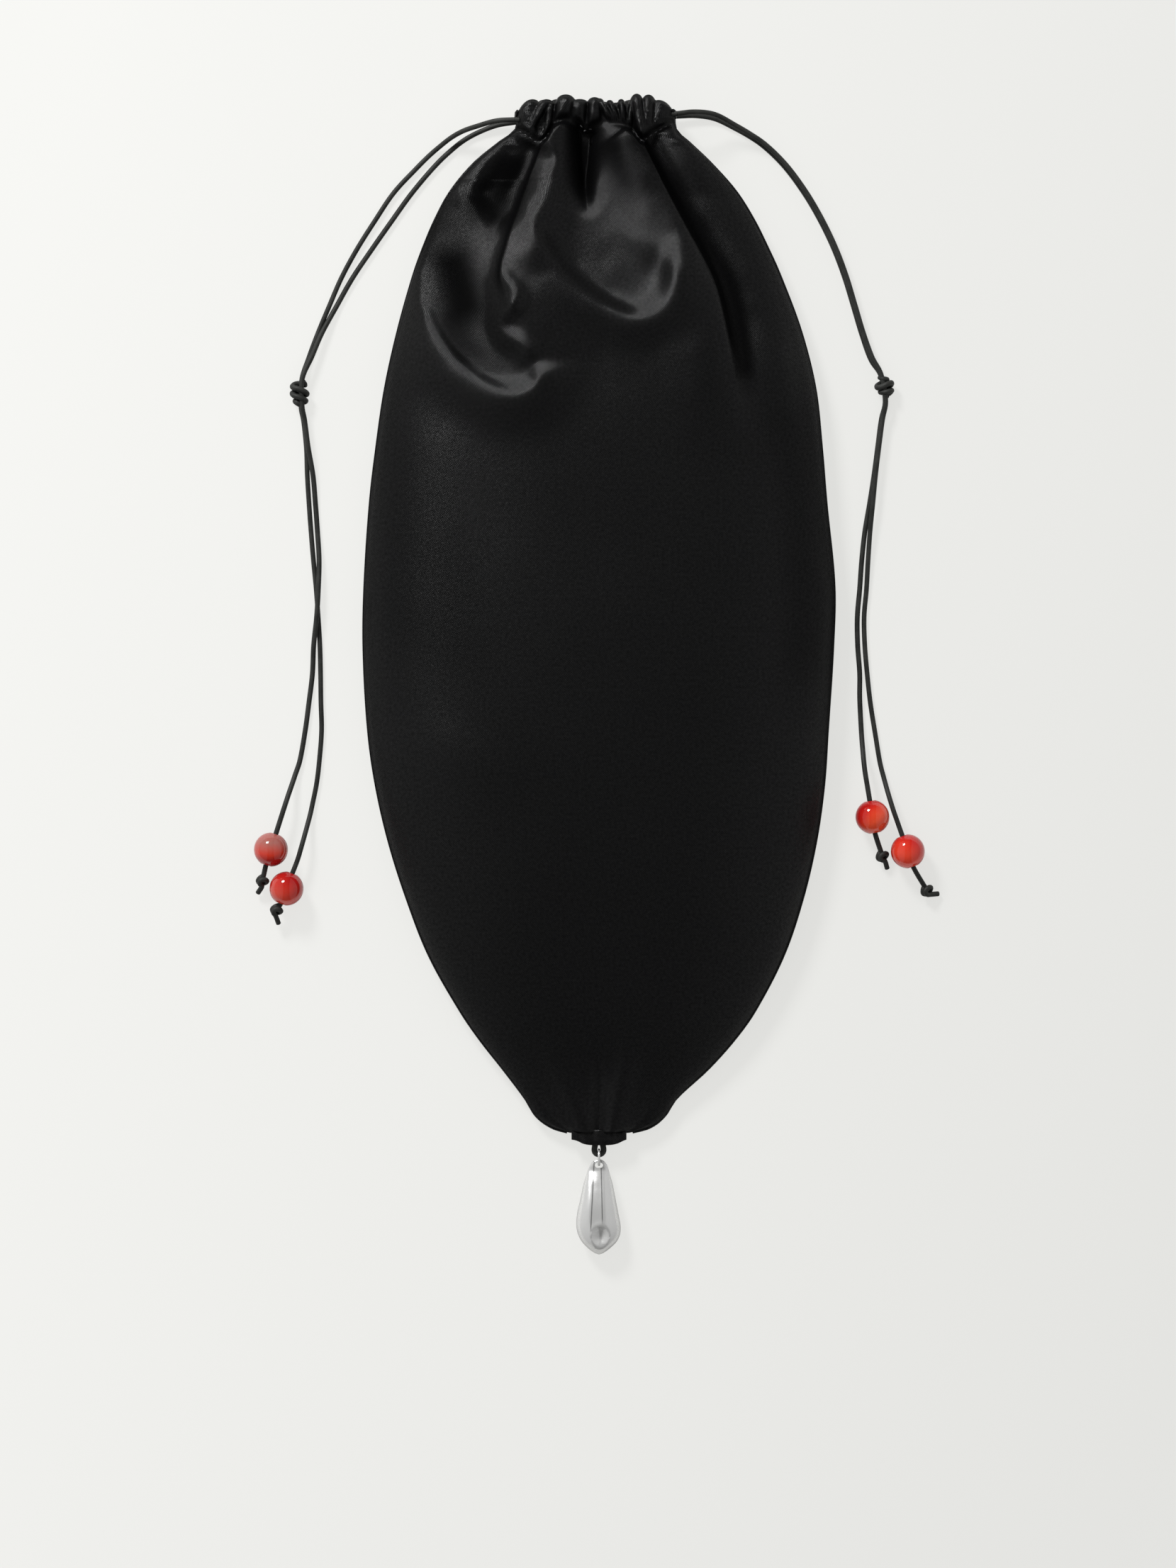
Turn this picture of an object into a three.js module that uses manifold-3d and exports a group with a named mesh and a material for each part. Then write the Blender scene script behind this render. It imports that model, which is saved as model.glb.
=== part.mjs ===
// A kinchaku: a satin drawstring pouch with two leather laces, four stone beads and a silver drop
// on a leather loop under its base. Millimetres, +Z up. The pouch lies on its back: X runs across
// it, Y from the drop up to the gathered neck, and Z is zero where the back panel rests.
import * as THREE from "three";
import { mergeVertices } from "three/addons/utils/BufferGeometryUtils.js";
import Module from "manifold-3d";

const wasm = await Module();
wasm.setup();

// Driving sizes of the pouch
const pouchLength = 303.2; // from the base tab up to the tops of the ruffles
const pouchWidth = 138.8;
const pouchDepth = 25; // lightly filled, lying on its back
const neckTop = 169; // height of the mouth above the origin, along Y
const clothWall = 1; // satin and lining together
const seamGap = 0.3; // running gap between touching pieces
const mouthGap = 4.6; // the gathered mouth, between the two casings
const pleatCount = 10;
const pleatHeight = 1.5;
const scallopHeight = 0.9; // rise of each ruffle above the casing
const casingHeight = 11.6;

// Driving sizes of the laces, knots and beads
const laceDiameter = 1.5;
const laceClearance = 0.3;
const tableGap = 0.1; // how far the laces stay off the table, so that no bend dips under it
const knotLength = 7.4;
const knotWidth = 6;
const endKnotWidth = 3.9;
const stubLength = 3.2;
const beadDiameter = 10;
const boreDiameter = 2.5;

// Driving sizes of the base tab, its loop, the ring and the drop
const tabWidth = 16.2;
const tabHeight = 3.3;
const tabDepth = 6.2;
const loopLaceDiameter = 1.6;
const loopWidth = 4.3;
const loopReach = 3.55; // how far the loop stands out of the tab
const ringWire = 0.7;
const ringClearance = 0.25;
const dropLength = 27.9;
const dropWidth = 13.1;
const dropDepth = 8.4;
const eyeBar = 1; // silver left above the drop's eye
const eyeSlack = 0.6; // room that the ring has in the eye besides its clearance
const dropHang = 0.65; // how far the drop's top lies below the end of the loop
const eyeWidth = 2.4;

// Sizes that follow from them
const laceRadius = laceDiameter / 2;
const channelDepth = laceDiameter + 2 * laceClearance + clothWall * 0.3;
const channelHeight = 2 * laceDiameter + 3 * laceClearance + 0.3;
const casingDepth = channelDepth + 2 * clothWall;
const neckDepth = 2 * casingDepth + mouthGap;
const halfWidth = pouchWidth / 2;
const baseEnd = neckTop - pouchLength; // where the panels stop, just above the tab
const casingBottom = neckTop - casingHeight;
const channelY = neckTop - casingHeight * 0.42;
const frontChannelZ = neckDepth - casingDepth / 2;
const backChannelZ = casingDepth / 2;
const laceStagger = (laceDiameter + laceClearance) / 2;

// Materials
const material = (color, roughness, metalness) =>
  new THREE.MeshStandardMaterial({ color, roughness, metalness });
const satin = material(0x0d0d10, 0.5, 0);
const leather = material(0x0b0a0a, 0.55, 0);
const carnelian = material(0x9c2408, 0.12, 0);
const silver = material(0xd4d6d4, 0.12, 1);

const part = new THREE.Group();
const addPiece = (name, geometry, finish) => {
  const mesh = new THREE.Mesh(geometry, finish);
  mesh.name = name;
  part.add(mesh);
  return mesh;
};

// A smooth value read from rows of [place, value, value, ...] in rising place
const readTable = (rows, place, column = 1) => {
  const last = rows.length - 1;
  if (place <= rows[0][0]) return rows[0][column];
  if (place >= rows[last][0]) return rows[last][column];
  const i = rows.findIndex((row) => row[0] > place) - 1;
  const slope = (k) => {
    const a = rows[Math.max(k - 1, 0)];
    const b = rows[Math.min(k + 1, last)];
    return (b[column] - a[column]) / (b[0] - a[0]);
  };
  const span = rows[i + 1][0] - rows[i][0];
  const f = (place - rows[i][0]) / span;
  const f2 = f * f;
  const f3 = f2 * f;
  return (
    (2 * f3 - 3 * f2 + 1) * rows[i][column] +
    (f3 - 2 * f2 + f) * span * slope(i) +
    (3 * f2 - 2 * f3) * rows[i + 1][column] +
    (f3 - f2) * span * slope(i + 1)
  );
};
const ease = (from, to, value) => {
  const f = Math.min(1, Math.max(0, (value - from) / (to - from)));
  return f * f * (3 - 2 * f);
};

// The outline seen from the front: share of the length from base to mouth, then how far the
// left and right edges stand out, as shares of half the width
const outline = [
  [0, 0.125, 0.13],
  [0.005, 0.2, 0.215],
  [0.016, 0.268, 0.28],
  [0.034, 0.318, 0.333],
  [0.062, 0.41, 0.465],
  [0.09, 0.506, 0.575],
  [0.118, 0.59, 0.663],
  [0.172, 0.723, 0.785],
  [0.227, 0.817, 0.866],
  [0.282, 0.893, 0.922],
  [0.337, 0.948, 0.956],
  [0.391, 0.981, 0.972],
  [0.47, 1, 0.994],
  [0.53, 0.996, 1],
  [0.611, 0.973, 0.966],
  [0.666, 0.945, 0.946],
  [0.722, 0.909, 0.919],
  [0.777, 0.856, 0.859],
  [0.831, 0.79, 0.771],
  [0.858, 0.748, 0.718],
  [0.886, 0.696, 0.657],
  [0.913, 0.631, 0.582],
  [0.94, 0.532, 0.477],
  [0.96, 0.425, 0.385],
  [0.972, 0.357, 0.33],
  [1, 0.352, 0.325],
];
// Height of the front over the table, and height of the side seam
const depths = [
  [0, tabDepth],
  [0.05, tabDepth + 0.1 * pouchDepth],
  [0.12, 0.58 * pouchDepth],
  [0.25, 0.86 * pouchDepth],
  [0.42, pouchDepth],
  [0.58, pouchDepth],
  [0.75, 0.93 * pouchDepth],
  [0.88, 0.5 * (0.85 * pouchDepth + neckDepth)],
  [0.955, neckDepth],
  [1, neckDepth],
];
const seamHeights = [
  [0, tabDepth / 2],
  [0.12, 0.2 * pouchDepth],
  [0.4, 0.28 * pouchDepth],
  [0.7, 0.28 * pouchDepth],
  [0.955, neckDepth / 2],
  [1, neckDepth / 2],
];

// Folds pressed in by the drawstring. Each line runs through points of [share of half width,
// share of length], with its height, and its reach to the left and right of the way it runs.
const folds = [
  // the left tongue, sharp on its outer side
  {
    line: [[-0.23, 0.98], [-0.325, 0.91], [-0.4, 0.855], [-0.415, 0.83], [-0.37, 0.8], [-0.35, 0.77], [-0.27, 0.745]],
    height: 4.2,
    left: 9,
    right: 2.2,
  },
  // the right tongue, which laps over the cloth on its right
  {
    line: [[0.18, 0.98], [0.305, 0.91], [0.405, 0.86], [0.5, 0.82], [0.535, 0.788], [0.565, 0.74], [0.58, 0.69]],
    height: 4.4,
    left: 2.0,
    right: 10,
  },
  // the hollow left of the left tongue
  { line: [[-0.36, 0.935], [-0.5, 0.87], [-0.52, 0.81]], height: -4.2, left: 7, right: 9 },
  // the valley between the tongues
  { line: [[-0.055, 0.985], [-0.06, 0.93], [-0.03, 0.875]], height: -3.6, left: 3.4, right: 2.8 },
  // the cloth tucked under the right tongue
  { line: [[0.27, 0.965], [0.4, 0.9], [0.52, 0.85], [0.62, 0.79], [0.65, 0.72]], height: -2.6, left: 4, right: 2.6 },
  // the sling that hangs between the tongues, and a smaller one inside it
  {
    line: [[-0.21, 0.89], [-0.155, 0.858], [-0.015, 0.826], [0.145, 0.805], [0.265, 0.817], [0.315, 0.845]],
    height: 1.7,
    left: 4,
    right: 5,
  },
  { line: [[-0.035, 0.912], [0.065, 0.885], [0.205, 0.872], [0.29, 0.878]], height: 1.1, left: 3, right: 4 },
  // the sling under the left hollow
  {
    line: [[-0.765, 0.843], [-0.735, 0.798], [-0.615, 0.757], [-0.415, 0.73], [-0.275, 0.738], [-0.235, 0.757]],
    height: 1.9,
    left: 4.5,
    right: 6,
  },
  // long soft swells down the right side and across the lower left
  { line: [[0.7, 0.82], [0.75, 0.74], [0.76, 0.63]], height: 0.9, left: 8, right: 8 },
  { line: [[-0.8, 0.405], [-0.5, 0.365], [-0.33, 0.34]], height: 0.7, left: 7, right: 7 },
  // the crease that the gathered base pulls up the middle
  { line: [[0, 0.1], [-0.005, 0.05], [0, 0]], height: -1.6, left: 2.2, right: 2.6 },
  { line: [[0.07, 0.11], [0.055, 0.05], [0.04, 0.0]], height: 0.9, left: 3, right: 3 },
  { line: [[-0.16, 0.09], [-0.1, 0.04], [-0.06, 0.0]], height: 0.8, left: 3, right: 3 },
];

const edge = (side, along) => side * halfWidth * readTable(outline, along, side < 0 ? 1 : 2);
const placeY = (along) => baseEnd + along * pouchLength;

// How far a point stands off one fold's line, and what share of the line it lies at
const foldHeight = (fold, x, y) => {
  let best = null;
  let walked = 0;
  const points = fold.line.map(([across, along]) => [across * halfWidth, placeY(along)]);
  for (let i = 0; i + 1 < points.length; i++) {
    const [ax, ay] = points[i];
    const dx = points[i + 1][0] - ax;
    const dy = points[i + 1][1] - ay;
    const length = Math.hypot(dx, dy);
    const f = Math.min(1, Math.max(0, ((x - ax) * dx + (y - ay) * dy) / (length * length)));
    const off = Math.hypot(x - ax - f * dx, y - ay - f * dy);
    if (!best || off < best.off) {
      const turn = dx * (y - ay) - dy * (x - ax);
      best = { off, reach: turn > 0 ? fold.left : fold.right, at: walked + f * length };
    }
    walked += length;
  }
  const endFade = ease(0, 9, best.at + 3) * ease(0, 16, walked - best.at + 2);
  const share = best.off / best.reach;
  return fold.height * endFade * Math.exp(-share * share);
};

const pleat = (across) => Math.cos(Math.PI * pleatCount * across);
const neckShare = (along) => ease(0.905, 0.965, along);

// A point of the front cloth's outer face
const frontOuter = (across, along) => {
  const neck = neckShare(along);
  const middle = (edge(1, along) + edge(-1, along)) / 2;
  const half = (edge(1, along) - edge(-1, along)) / 2;
  const x = middle + half * across;
  const y = placeY(along);
  const seam = readTable(seamHeights, along) + seamGap / 2;
  const rise = readTable(depths, along) - seam;
  const round = 2.5 + 4 * neck;
  const dome = Math.pow(Math.max(0, 1 - Math.pow(Math.abs(across), round)), 0.6 - 0.25 * neck);
  const soft = Math.min(1, 2 * dome);
  let z = seam + rise * dome;
  for (const fold of folds) z += foldHeight(fold, x, y) * soft * (1 - neck);
  z += pleatHeight * 0.5 * (pleat(across) + 1) * neck * soft;
  z -= 0.5 * soft * Math.exp(-Math.pow((y - casingBottom) / 1.1, 2));
  z = Math.max(z, seam + Math.min(rise * dome, clothWall * 1.6 * soft));
  const lip = ease(neckTop - 3.4, neckTop, y);
  z -= 1.3 * lip * lip * soft;
  return new THREE.Vector3(x, y + scallopHeight * lip * (0.4 + 0.6 * pleat(across + 0.03)), z);
};
const casingShare = (y) => ease(casingBottom - 2.6, casingBottom + 1, y);
const frontInner = (across, along) => {
  const outer = frontOuter(across, along);
  const y = placeY(along);
  const seam = readTable(seamHeights, along) + seamGap / 2;
  const thin = outer.z - clothWall * 0.98 * Math.min(1, (1.4 * (outer.z - seam)) / clothWall);
  const lip = ease(neckTop - 3.4, neckTop, y);
  const ceiling = neckDepth - casingDepth + 1.2 * lip;
  const casing = seam + (ceiling - seam) * Math.min(1, 2.2 * (1 - Math.pow(Math.abs(across), 6)));
  const z = thin + (casing - thin) * casingShare(y);
  const inset = Math.sign(across) * Math.pow(Math.abs(across), 6) * clothWall;
  return new THREE.Vector3(outer.x - inset, outer.y, Math.max(z, seam));
};

// A point of the back cloth's outer face, flat where it rests, and of its inner face
const backOuter = (across, along) => {
  const neck = neckShare(along);
  const middle = (edge(1, along) + edge(-1, along)) / 2;
  const half = (edge(1, along) - edge(-1, along)) / 2;
  const seam = readTable(seamHeights, along) - seamGap / 2;
  const flat = 0.74 + 0.12 * neck;
  const climb = Math.max(0, (Math.abs(across) - flat) / (1 - flat));
  const y = placeY(along);
  const lip = ease(neckTop - 3.4, neckTop, y);
  const ripple = 0.5 * pleatHeight * 0.6 * (1 - pleat(across)) * neckShare(along + 0.01) * (1 - climb);
  const z = seam * Math.pow(climb, 2) + ripple + 1.0 * lip * lip * (1 - climb);
  const tuft = scallopHeight * lip * (0.3 + 0.6 * pleat(across + 0.05));
  return new THREE.Vector3(middle + half * across, y + tuft - 0.2 * lip, z);
};
const backInner = (across, along) => {
  const outer = backOuter(across, along);
  const y = placeY(along);
  const seam = readTable(seamHeights, along) - seamGap / 2;
  const thin = outer.z + clothWall * Math.min(1, (1.4 * (seam - outer.z)) / clothWall);
  const lip = ease(neckTop - 3.4, neckTop, y);
  const floor = casingDepth - 1.2 * lip;
  const casing = seam + (floor - seam) * Math.min(1, 2.2 * (1 - Math.pow(Math.abs(across), 6)));
  const z = thin + (casing - thin) * casingShare(y);
  const inset = Math.sign(across) * Math.pow(Math.abs(across), 6) * clothWall;
  return new THREE.Vector3(outer.x - inset, outer.y, Math.min(Math.max(z, outer.z), seam));
};

// Flat list of triangle corners between two rows that may have different numbers of points
const stitch = (corners, a, b) => {
  let i = 0;
  let j = 0;
  while (i + 1 < a.length || j + 1 < b.length) {
    const nextA = (i + 1) / (a.length - 1);
    const nextB = (j + 1) / (b.length - 1);
    if (j + 1 >= b.length || (i + 1 < a.length && nextA <= nextB)) {
      corners.push(a[i], a[i + 1], b[j]);
      i++;
    } else {
      corners.push(a[i], b[j + 1], b[j]);
      j++;
    }
  }
};
const geometryOf = (corners) => {
  const flat = new Float32Array(corners.length * 3);
  corners.forEach((p, i) => flat.set([p.x, p.y, p.z], i * 3));
  const loose = new THREE.BufferGeometry().setAttribute("position", new THREE.BufferAttribute(flat, 3));
  return mergeVertices(loose, 1e-4);
};
// A closed shell between an outer and an inner face, each a list of rows
const shell = (outerRows, innerRows, flip) => {
  const corners = [];
  for (let r = 0; r + 1 < outerRows.length; r++) stitch(corners, outerRows[r], outerRows[r + 1]);
  for (let r = 0; r + 1 < innerRows.length; r++) stitch(corners, innerRows[r + 1], innerRows[r]);
  stitch(corners, innerRows[0], outerRows[0]);
  stitch(corners, outerRows.at(-1), innerRows.at(-1));
  stitch(corners, outerRows.map((row) => row[0]), innerRows.map((row) => row[0]));
  stitch(corners, innerRows.map((row) => row.at(-1)), outerRows.map((row) => row.at(-1)));
  if (flip) corners.reverse();
  return geometryOf(corners);
};

const toSolid = (geometry) => {
  const bare = geometry.clone();
  bare.deleteAttribute("normal");
  bare.deleteAttribute("uv");
  const merged = mergeVertices(bare.index ? bare.toNonIndexed() : bare, 1e-4);
  return new wasm.Manifold(
    new wasm.Mesh({
      numProp: 3,
      vertProperties: merged.attributes.position.array,
      triVerts: new Uint32Array(merged.index.array),
    }),
  );
};
const fromSolid = (solid) => {
  const mesh = solid.getMesh();
  return new THREE.BufferGeometry()
    .setAttribute("position", new THREE.BufferAttribute(mesh.vertProperties, 3))
    .setIndex(new THREE.BufferAttribute(mesh.triVerts, 1));
};

// Panels
const rowPlaces = [
  0, 0.006, 0.016, 0.034, 0.06, 0.09, 0.125, 0.17, 0.22, 0.28, 0.34, 0.4, 0.47, 0.53, 0.6, 0.65, 0.69, 0.72, 0.745,
  0.77, 0.795, 0.818, 0.84, 0.862, 0.884, 0.905, 0.925, 0.942, 0.954, 0.962, 0.97, 0.982, 0.99, 0.995, 1,
];
const columnsAt = (along, few, some, many) => (along > 0.9 ? many : along > 0.66 ? some : few);
const rowsOf = (face, few, some, many) =>
  rowPlaces.map((along) => {
    const columns = columnsAt(along, few, some, many);
    const row = [];
    for (let c = 0; c <= columns; c++) {
      const even = (2 * c) / columns - 1;
      const across = along > 0.9 ? even : Math.sin((even * Math.PI) / 2) * 0.35 + even * 0.65;
      row.push(face(across, along));
    }
    return row;
  });

// The channel that the laces run through, right across a casing
const channel = (z) => {
  const w = channelHeight / 2;
  const h = channelDepth / 2;
  const section = new THREE.Shape();
  section.moveTo(-w + h, -h);
  section.lineTo(w - h, -h);
  section.absarc(w - h, 0, h, -Math.PI / 2, Math.PI / 2);
  section.lineTo(-w + h, h);
  section.absarc(-w + h, 0, h, Math.PI / 2, (3 * Math.PI) / 2);
  const length = pouchWidth;
  const tunnel = new THREE.ExtrudeGeometry(section, { depth: length, bevelEnabled: false, curveSegments: 5 });
  tunnel.rotateY(Math.PI / 2);
  tunnel.rotateX(Math.PI / 2);
  tunnel.translate(-length / 2, channelY, z);
  return tunnel;
};
const panel = (outer, inner, z, flip) =>
  fromSolid(toSolid(shell(outer, inner, flip)).subtract(toSolid(channel(z))));

addPiece("front_panel", panel(rowsOf(frontOuter, 18, 32, 50), rowsOf(frontInner, 18, 32, 26), frontChannelZ, false), satin);
addPiece("back_panel", panel(rowsOf(backOuter, 14, 14, 30), rowsOf(backInner, 14, 14, 20), backChannelZ, true), satin);

// The folded strip that binds the gathered base, with soft round edges
const roundedBlock = (width, depth, height, corner) => {
  const w = width / 2 - corner;
  const h = depth / 2 - corner;
  const section = new THREE.Shape();
  section.moveTo(-w, -h - corner);
  section.lineTo(w, -h - corner);
  section.absarc(w, -h, corner, -Math.PI / 2, 0);
  section.absarc(w, h, corner, 0, Math.PI / 2);
  section.absarc(-w, h, corner, Math.PI / 2, Math.PI);
  section.absarc(-w, -h, corner, Math.PI, (3 * Math.PI) / 2);
  const bevel = height * 0.28;
  const block = new THREE.ExtrudeGeometry(section, {
    depth: height - 2 * bevel,
    bevelThickness: bevel,
    bevelSize: bevel * 0.7,
    bevelOffset: -bevel * 0.7,
    bevelSegments: 3,
    curveSegments: 4,
  });
  block.rotateX(Math.PI / 2);
  block.translate(0, -bevel, depth / 2);
  return block;
};
const tabTop = baseEnd - seamGap;
const tabBottom = tabTop - tabHeight;
const tab = roundedBlock(tabWidth, tabDepth, tabHeight, tabDepth * 0.3);
tab.translate(0, tabTop, 0);
addPiece("base_tab", tab, satin);

// Round sections and tubes
const roundSection = (radius, sides) => {
  const points = [];
  for (let i = 0; i < sides; i++) {
    const turn = (2 * Math.PI * i) / sides;
    points.push(new THREE.Vector2(radius * Math.cos(turn), radius * Math.sin(turn)));
  }
  return new THREE.Shape(points);
};
const tube = (curve, diameter, steps, sides = 8) =>
  new THREE.ExtrudeGeometry(roundSection(diameter / 2, sides), { steps, extrudePath: curve, bevelEnabled: false });
const stepsFor = (curve, diameter) => Math.min(80, Math.max(4, Math.round(curve.getLength() / (3 * diameter))));

// The leather loop under the tab: two legs and the bend that carries the ring
const hangZ = tabDepth / 2;
const loopLeg = (loopWidth - loopLaceDiameter) / 2;
const loopTop = tabBottom - seamGap;
const loopBend = tabBottom - loopReach + loopLaceDiameter / 2 + loopLeg;
const loopPath = new THREE.CurvePath();
const loopPoint = (x, y) => new THREE.Vector3(x, y, hangZ);
const bendPoints = [];
for (let i = 0; i <= 8; i++) {
  const turn = Math.PI + (Math.PI * i) / 8;
  bendPoints.push(loopPoint(loopLeg * Math.cos(turn), loopBend + loopLeg * Math.sin(turn)));
}
loopPath.add(new THREE.LineCurve3(loopPoint(-loopLeg, loopTop), loopPoint(-loopLeg, loopBend)));
loopPath.add(new THREE.CatmullRomCurve3(bendPoints));
loopPath.add(new THREE.LineCurve3(loopPoint(loopLeg, loopBend), loopPoint(loopLeg, loopTop)));
addPiece("hanging_loop", tube(loopPath, loopLaceDiameter, 16, 8), leather);

// The ring stands on edge through the loop and through the drop's eye
const loopBarY = loopBend - loopLeg;
const dropTop = tabBottom - loopReach - dropHang;
const eyeBarY = dropTop - eyeBar / 2;
const ringTop = loopBarY + loopLaceDiameter / 2 + ringClearance + ringWire / 2;
const ringBottom = dropTop - eyeBar - ringClearance - ringWire / 2;
const ringRadius = (ringTop - ringBottom) / 2;
const ring = new THREE.TorusGeometry(ringRadius, ringWire / 2, 8, 24);
ring.rotateY(Math.PI / 2);
ring.translate(0, (ringTop + ringBottom) / 2, hangZ);
addPiece("hanging_ring", ring, silver);

// The drop: share of its length down from the top, left and right edges as shares of half its
// width, and thickness as a share of its full depth. Its top is a thin tab with the eye in it.
const dropRows = [
  [0, 0.06, 0.06, 0.05],
  [0.015, 0.22, 0.2, 0.11],
  [0.05, 0.37, 0.34, 0.135],
  [0.115, 0.5, 0.44, 0.15],
  [0.17, 0.57, 0.5, 0.34],
  [0.25, 0.68, 0.6, 0.56],
  [0.42, 0.84, 0.75, 0.8],
  [0.58, 0.99, 0.88, 0.95],
  [0.7, 1.02, 0.97, 1],
  [0.79, 0.94, 0.945, 0.94],
  [0.87, 0.76, 0.78, 0.78],
  [0.94, 0.47, 0.47, 0.5],
  [0.985, 0.2, 0.2, 0.2],
  [1, 0.03, 0.03, 0.04],
];
const dimpleAt = { x: 0.09, along: 0.8 }; // share of half width, share of length
const dimpleReach = 2.3;
const dimpleDepth = 1.7;
const dropSurface = () => {
  const rows = [];
  const sides = 24;
  const stations = [0, 0.008, 0.02, 0.05, 0.085, 0.12, 0.145, 0.175, 0.215, 0.27, 0.36, 0.46, 0.55, 0.62, 0.68, 0.73];
  stations.push(0.77, 0.81, 0.85, 0.9, 0.94, 0.97, 0.99, 1);
  for (const share of stations) {
    const left = (dropWidth / 2) * readTable(dropRows, share, 1);
    const right = (dropWidth / 2) * readTable(dropRows, share, 2);
    const half = (dropDepth / 2) * readTable(dropRows, share, 3);
    const middleZ = hangZ + (dropDepth / 2 - hangZ) * ease(0.1, 0.55, share);
    const row = [];
    for (let i = 0; i < sides; i++) {
      const turn = (2 * Math.PI * i) / sides;
      const c = Math.cos(turn);
      const s = Math.sin(turn);
      const across = Math.sign(c) * Math.pow(Math.abs(c), 0.9);
      const x = (right - left) / 2 + ((right + left) / 2) * across;
      const y = dropTop - share * dropLength;
      let z = middleZ + half * Math.sign(s) * Math.pow(Math.abs(s), s > 0 ? 0.86 : 1);
      if (s > 0) {
        const dx = (x - (dimpleAt.x * dropWidth) / 2) / dimpleReach;
        const dy = ((share - dimpleAt.along) * dropLength) / (dimpleReach * 1.15);
        z -= Math.min(dimpleDepth, half) * Math.exp(-dx * dx - dy * dy);
      }
      row.push(new THREE.Vector3(x, y, z));
    }
    row.push(row[0]);
    rows.push(row);
  }
  const corners = [];
  for (let r = 0; r + 1 < rows.length; r++) stitch(corners, rows[r], rows[r + 1]);
  const cap = (row, first) => {
    const centre = new THREE.Vector3();
    row.slice(0, sides).forEach((p) => centre.addScaledVector(p, 1 / sides));
    for (let i = 0; i < sides; i++) {
      if (first) corners.push(centre, row[i + 1], row[i]);
      else corners.push(centre, row[i], row[i + 1]);
    }
  };
  cap(rows[0], true);
  cap(rows.at(-1), false);
  return geometryOf(corners);
};
const eyeHeight = ringWire + ringClearance + eyeSlack;
const eye = new THREE.ExtrudeGeometry(
  (() => {
    const section = new THREE.Shape();
    const r = eyeHeight / 2;
    const w = eyeWidth / 2 - r;
    section.absarc(w, 0, r, -Math.PI / 2, Math.PI / 2);
    section.absarc(-w, 0, r, Math.PI / 2, (3 * Math.PI) / 2);
    return section;
  })(),
  { depth: dropDepth, bevelEnabled: false, curveSegments: 6 },
);
eye.translate(0, dropTop - eyeBar - eyeHeight / 2, hangZ - dropDepth / 2);
addPiece("silver_drop", fromSolid(toSolid(dropSurface()).subtract(toSolid(eye))), silver);

// Laces inside the casings: each runs through the front, round the far side and back
const laceInCasing = (side) => {
  const y = channelY + side * laceStagger;
  const start = edge(side, 1);
  const far = edge(-side, 1) - side * 0.6;
  const bend = (frontChannelZ - backChannelZ) / 2;
  const middleZ = (frontChannelZ + backChannelZ) / 2;
  const arc = [];
  for (let i = 0; i <= 8; i++) {
    const turn = Math.PI / 2 - (Math.PI * i) / 8;
    arc.push(new THREE.Vector3(far - side * bend * Math.cos(turn), y, middleZ + bend * Math.sin(turn)));
  }
  const path = new THREE.CurvePath();
  path.add(new THREE.LineCurve3(new THREE.Vector3(start, y, frontChannelZ), arc[0]));
  path.add(new THREE.CatmullRomCurve3(arc));
  path.add(new THREE.LineCurve3(arc[8], new THREE.Vector3(start, y, backChannelZ)));
  return path;
};
addPiece("left_lace_in_casing", tube(laceInCasing(-1), laceDiameter, 30), leather);
addPiece("right_lace_in_casing", tube(laceInCasing(1), laceDiameter, 30), leather);

// Heights that the free laces pass at
const lie = laceRadius + tableGap; // on the table
const over = lie + laceDiameter + laceClearance; // over another lace
const bore = beadDiameter / 2; // through a bead that lies on the table

// Knots and beads: where each lies, and which way its lace runs on
const leftKnot = { x: -88.1, y: 83.4 };
const rightKnot = { x: 84.1, y: 85.2 };
const beads = {
  left_upper_bead: { x: -96.46, y: -50.83, back: [0.302, 0.953], knot: [-99.06, -60.3], tip: [-100.4, -63.6] },
  left_lower_bead: { x: -91.88, y: -62.3, back: [0.36, 0.933], knot: [-94.9, -68.9], tip: [-94.3, -72.6] },
  right_upper_bead: { x: 80.4, y: -41.25, back: [-0.162, 0.987], knot: [83.5, -53.0], tip: [84.9, -56.4] },
  right_lower_bead: { x: 90.8, y: -51.35, back: [-0.333, 0.943], knot: [96.67, -63.1], tip: [99.9, -63.9] },
};

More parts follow.
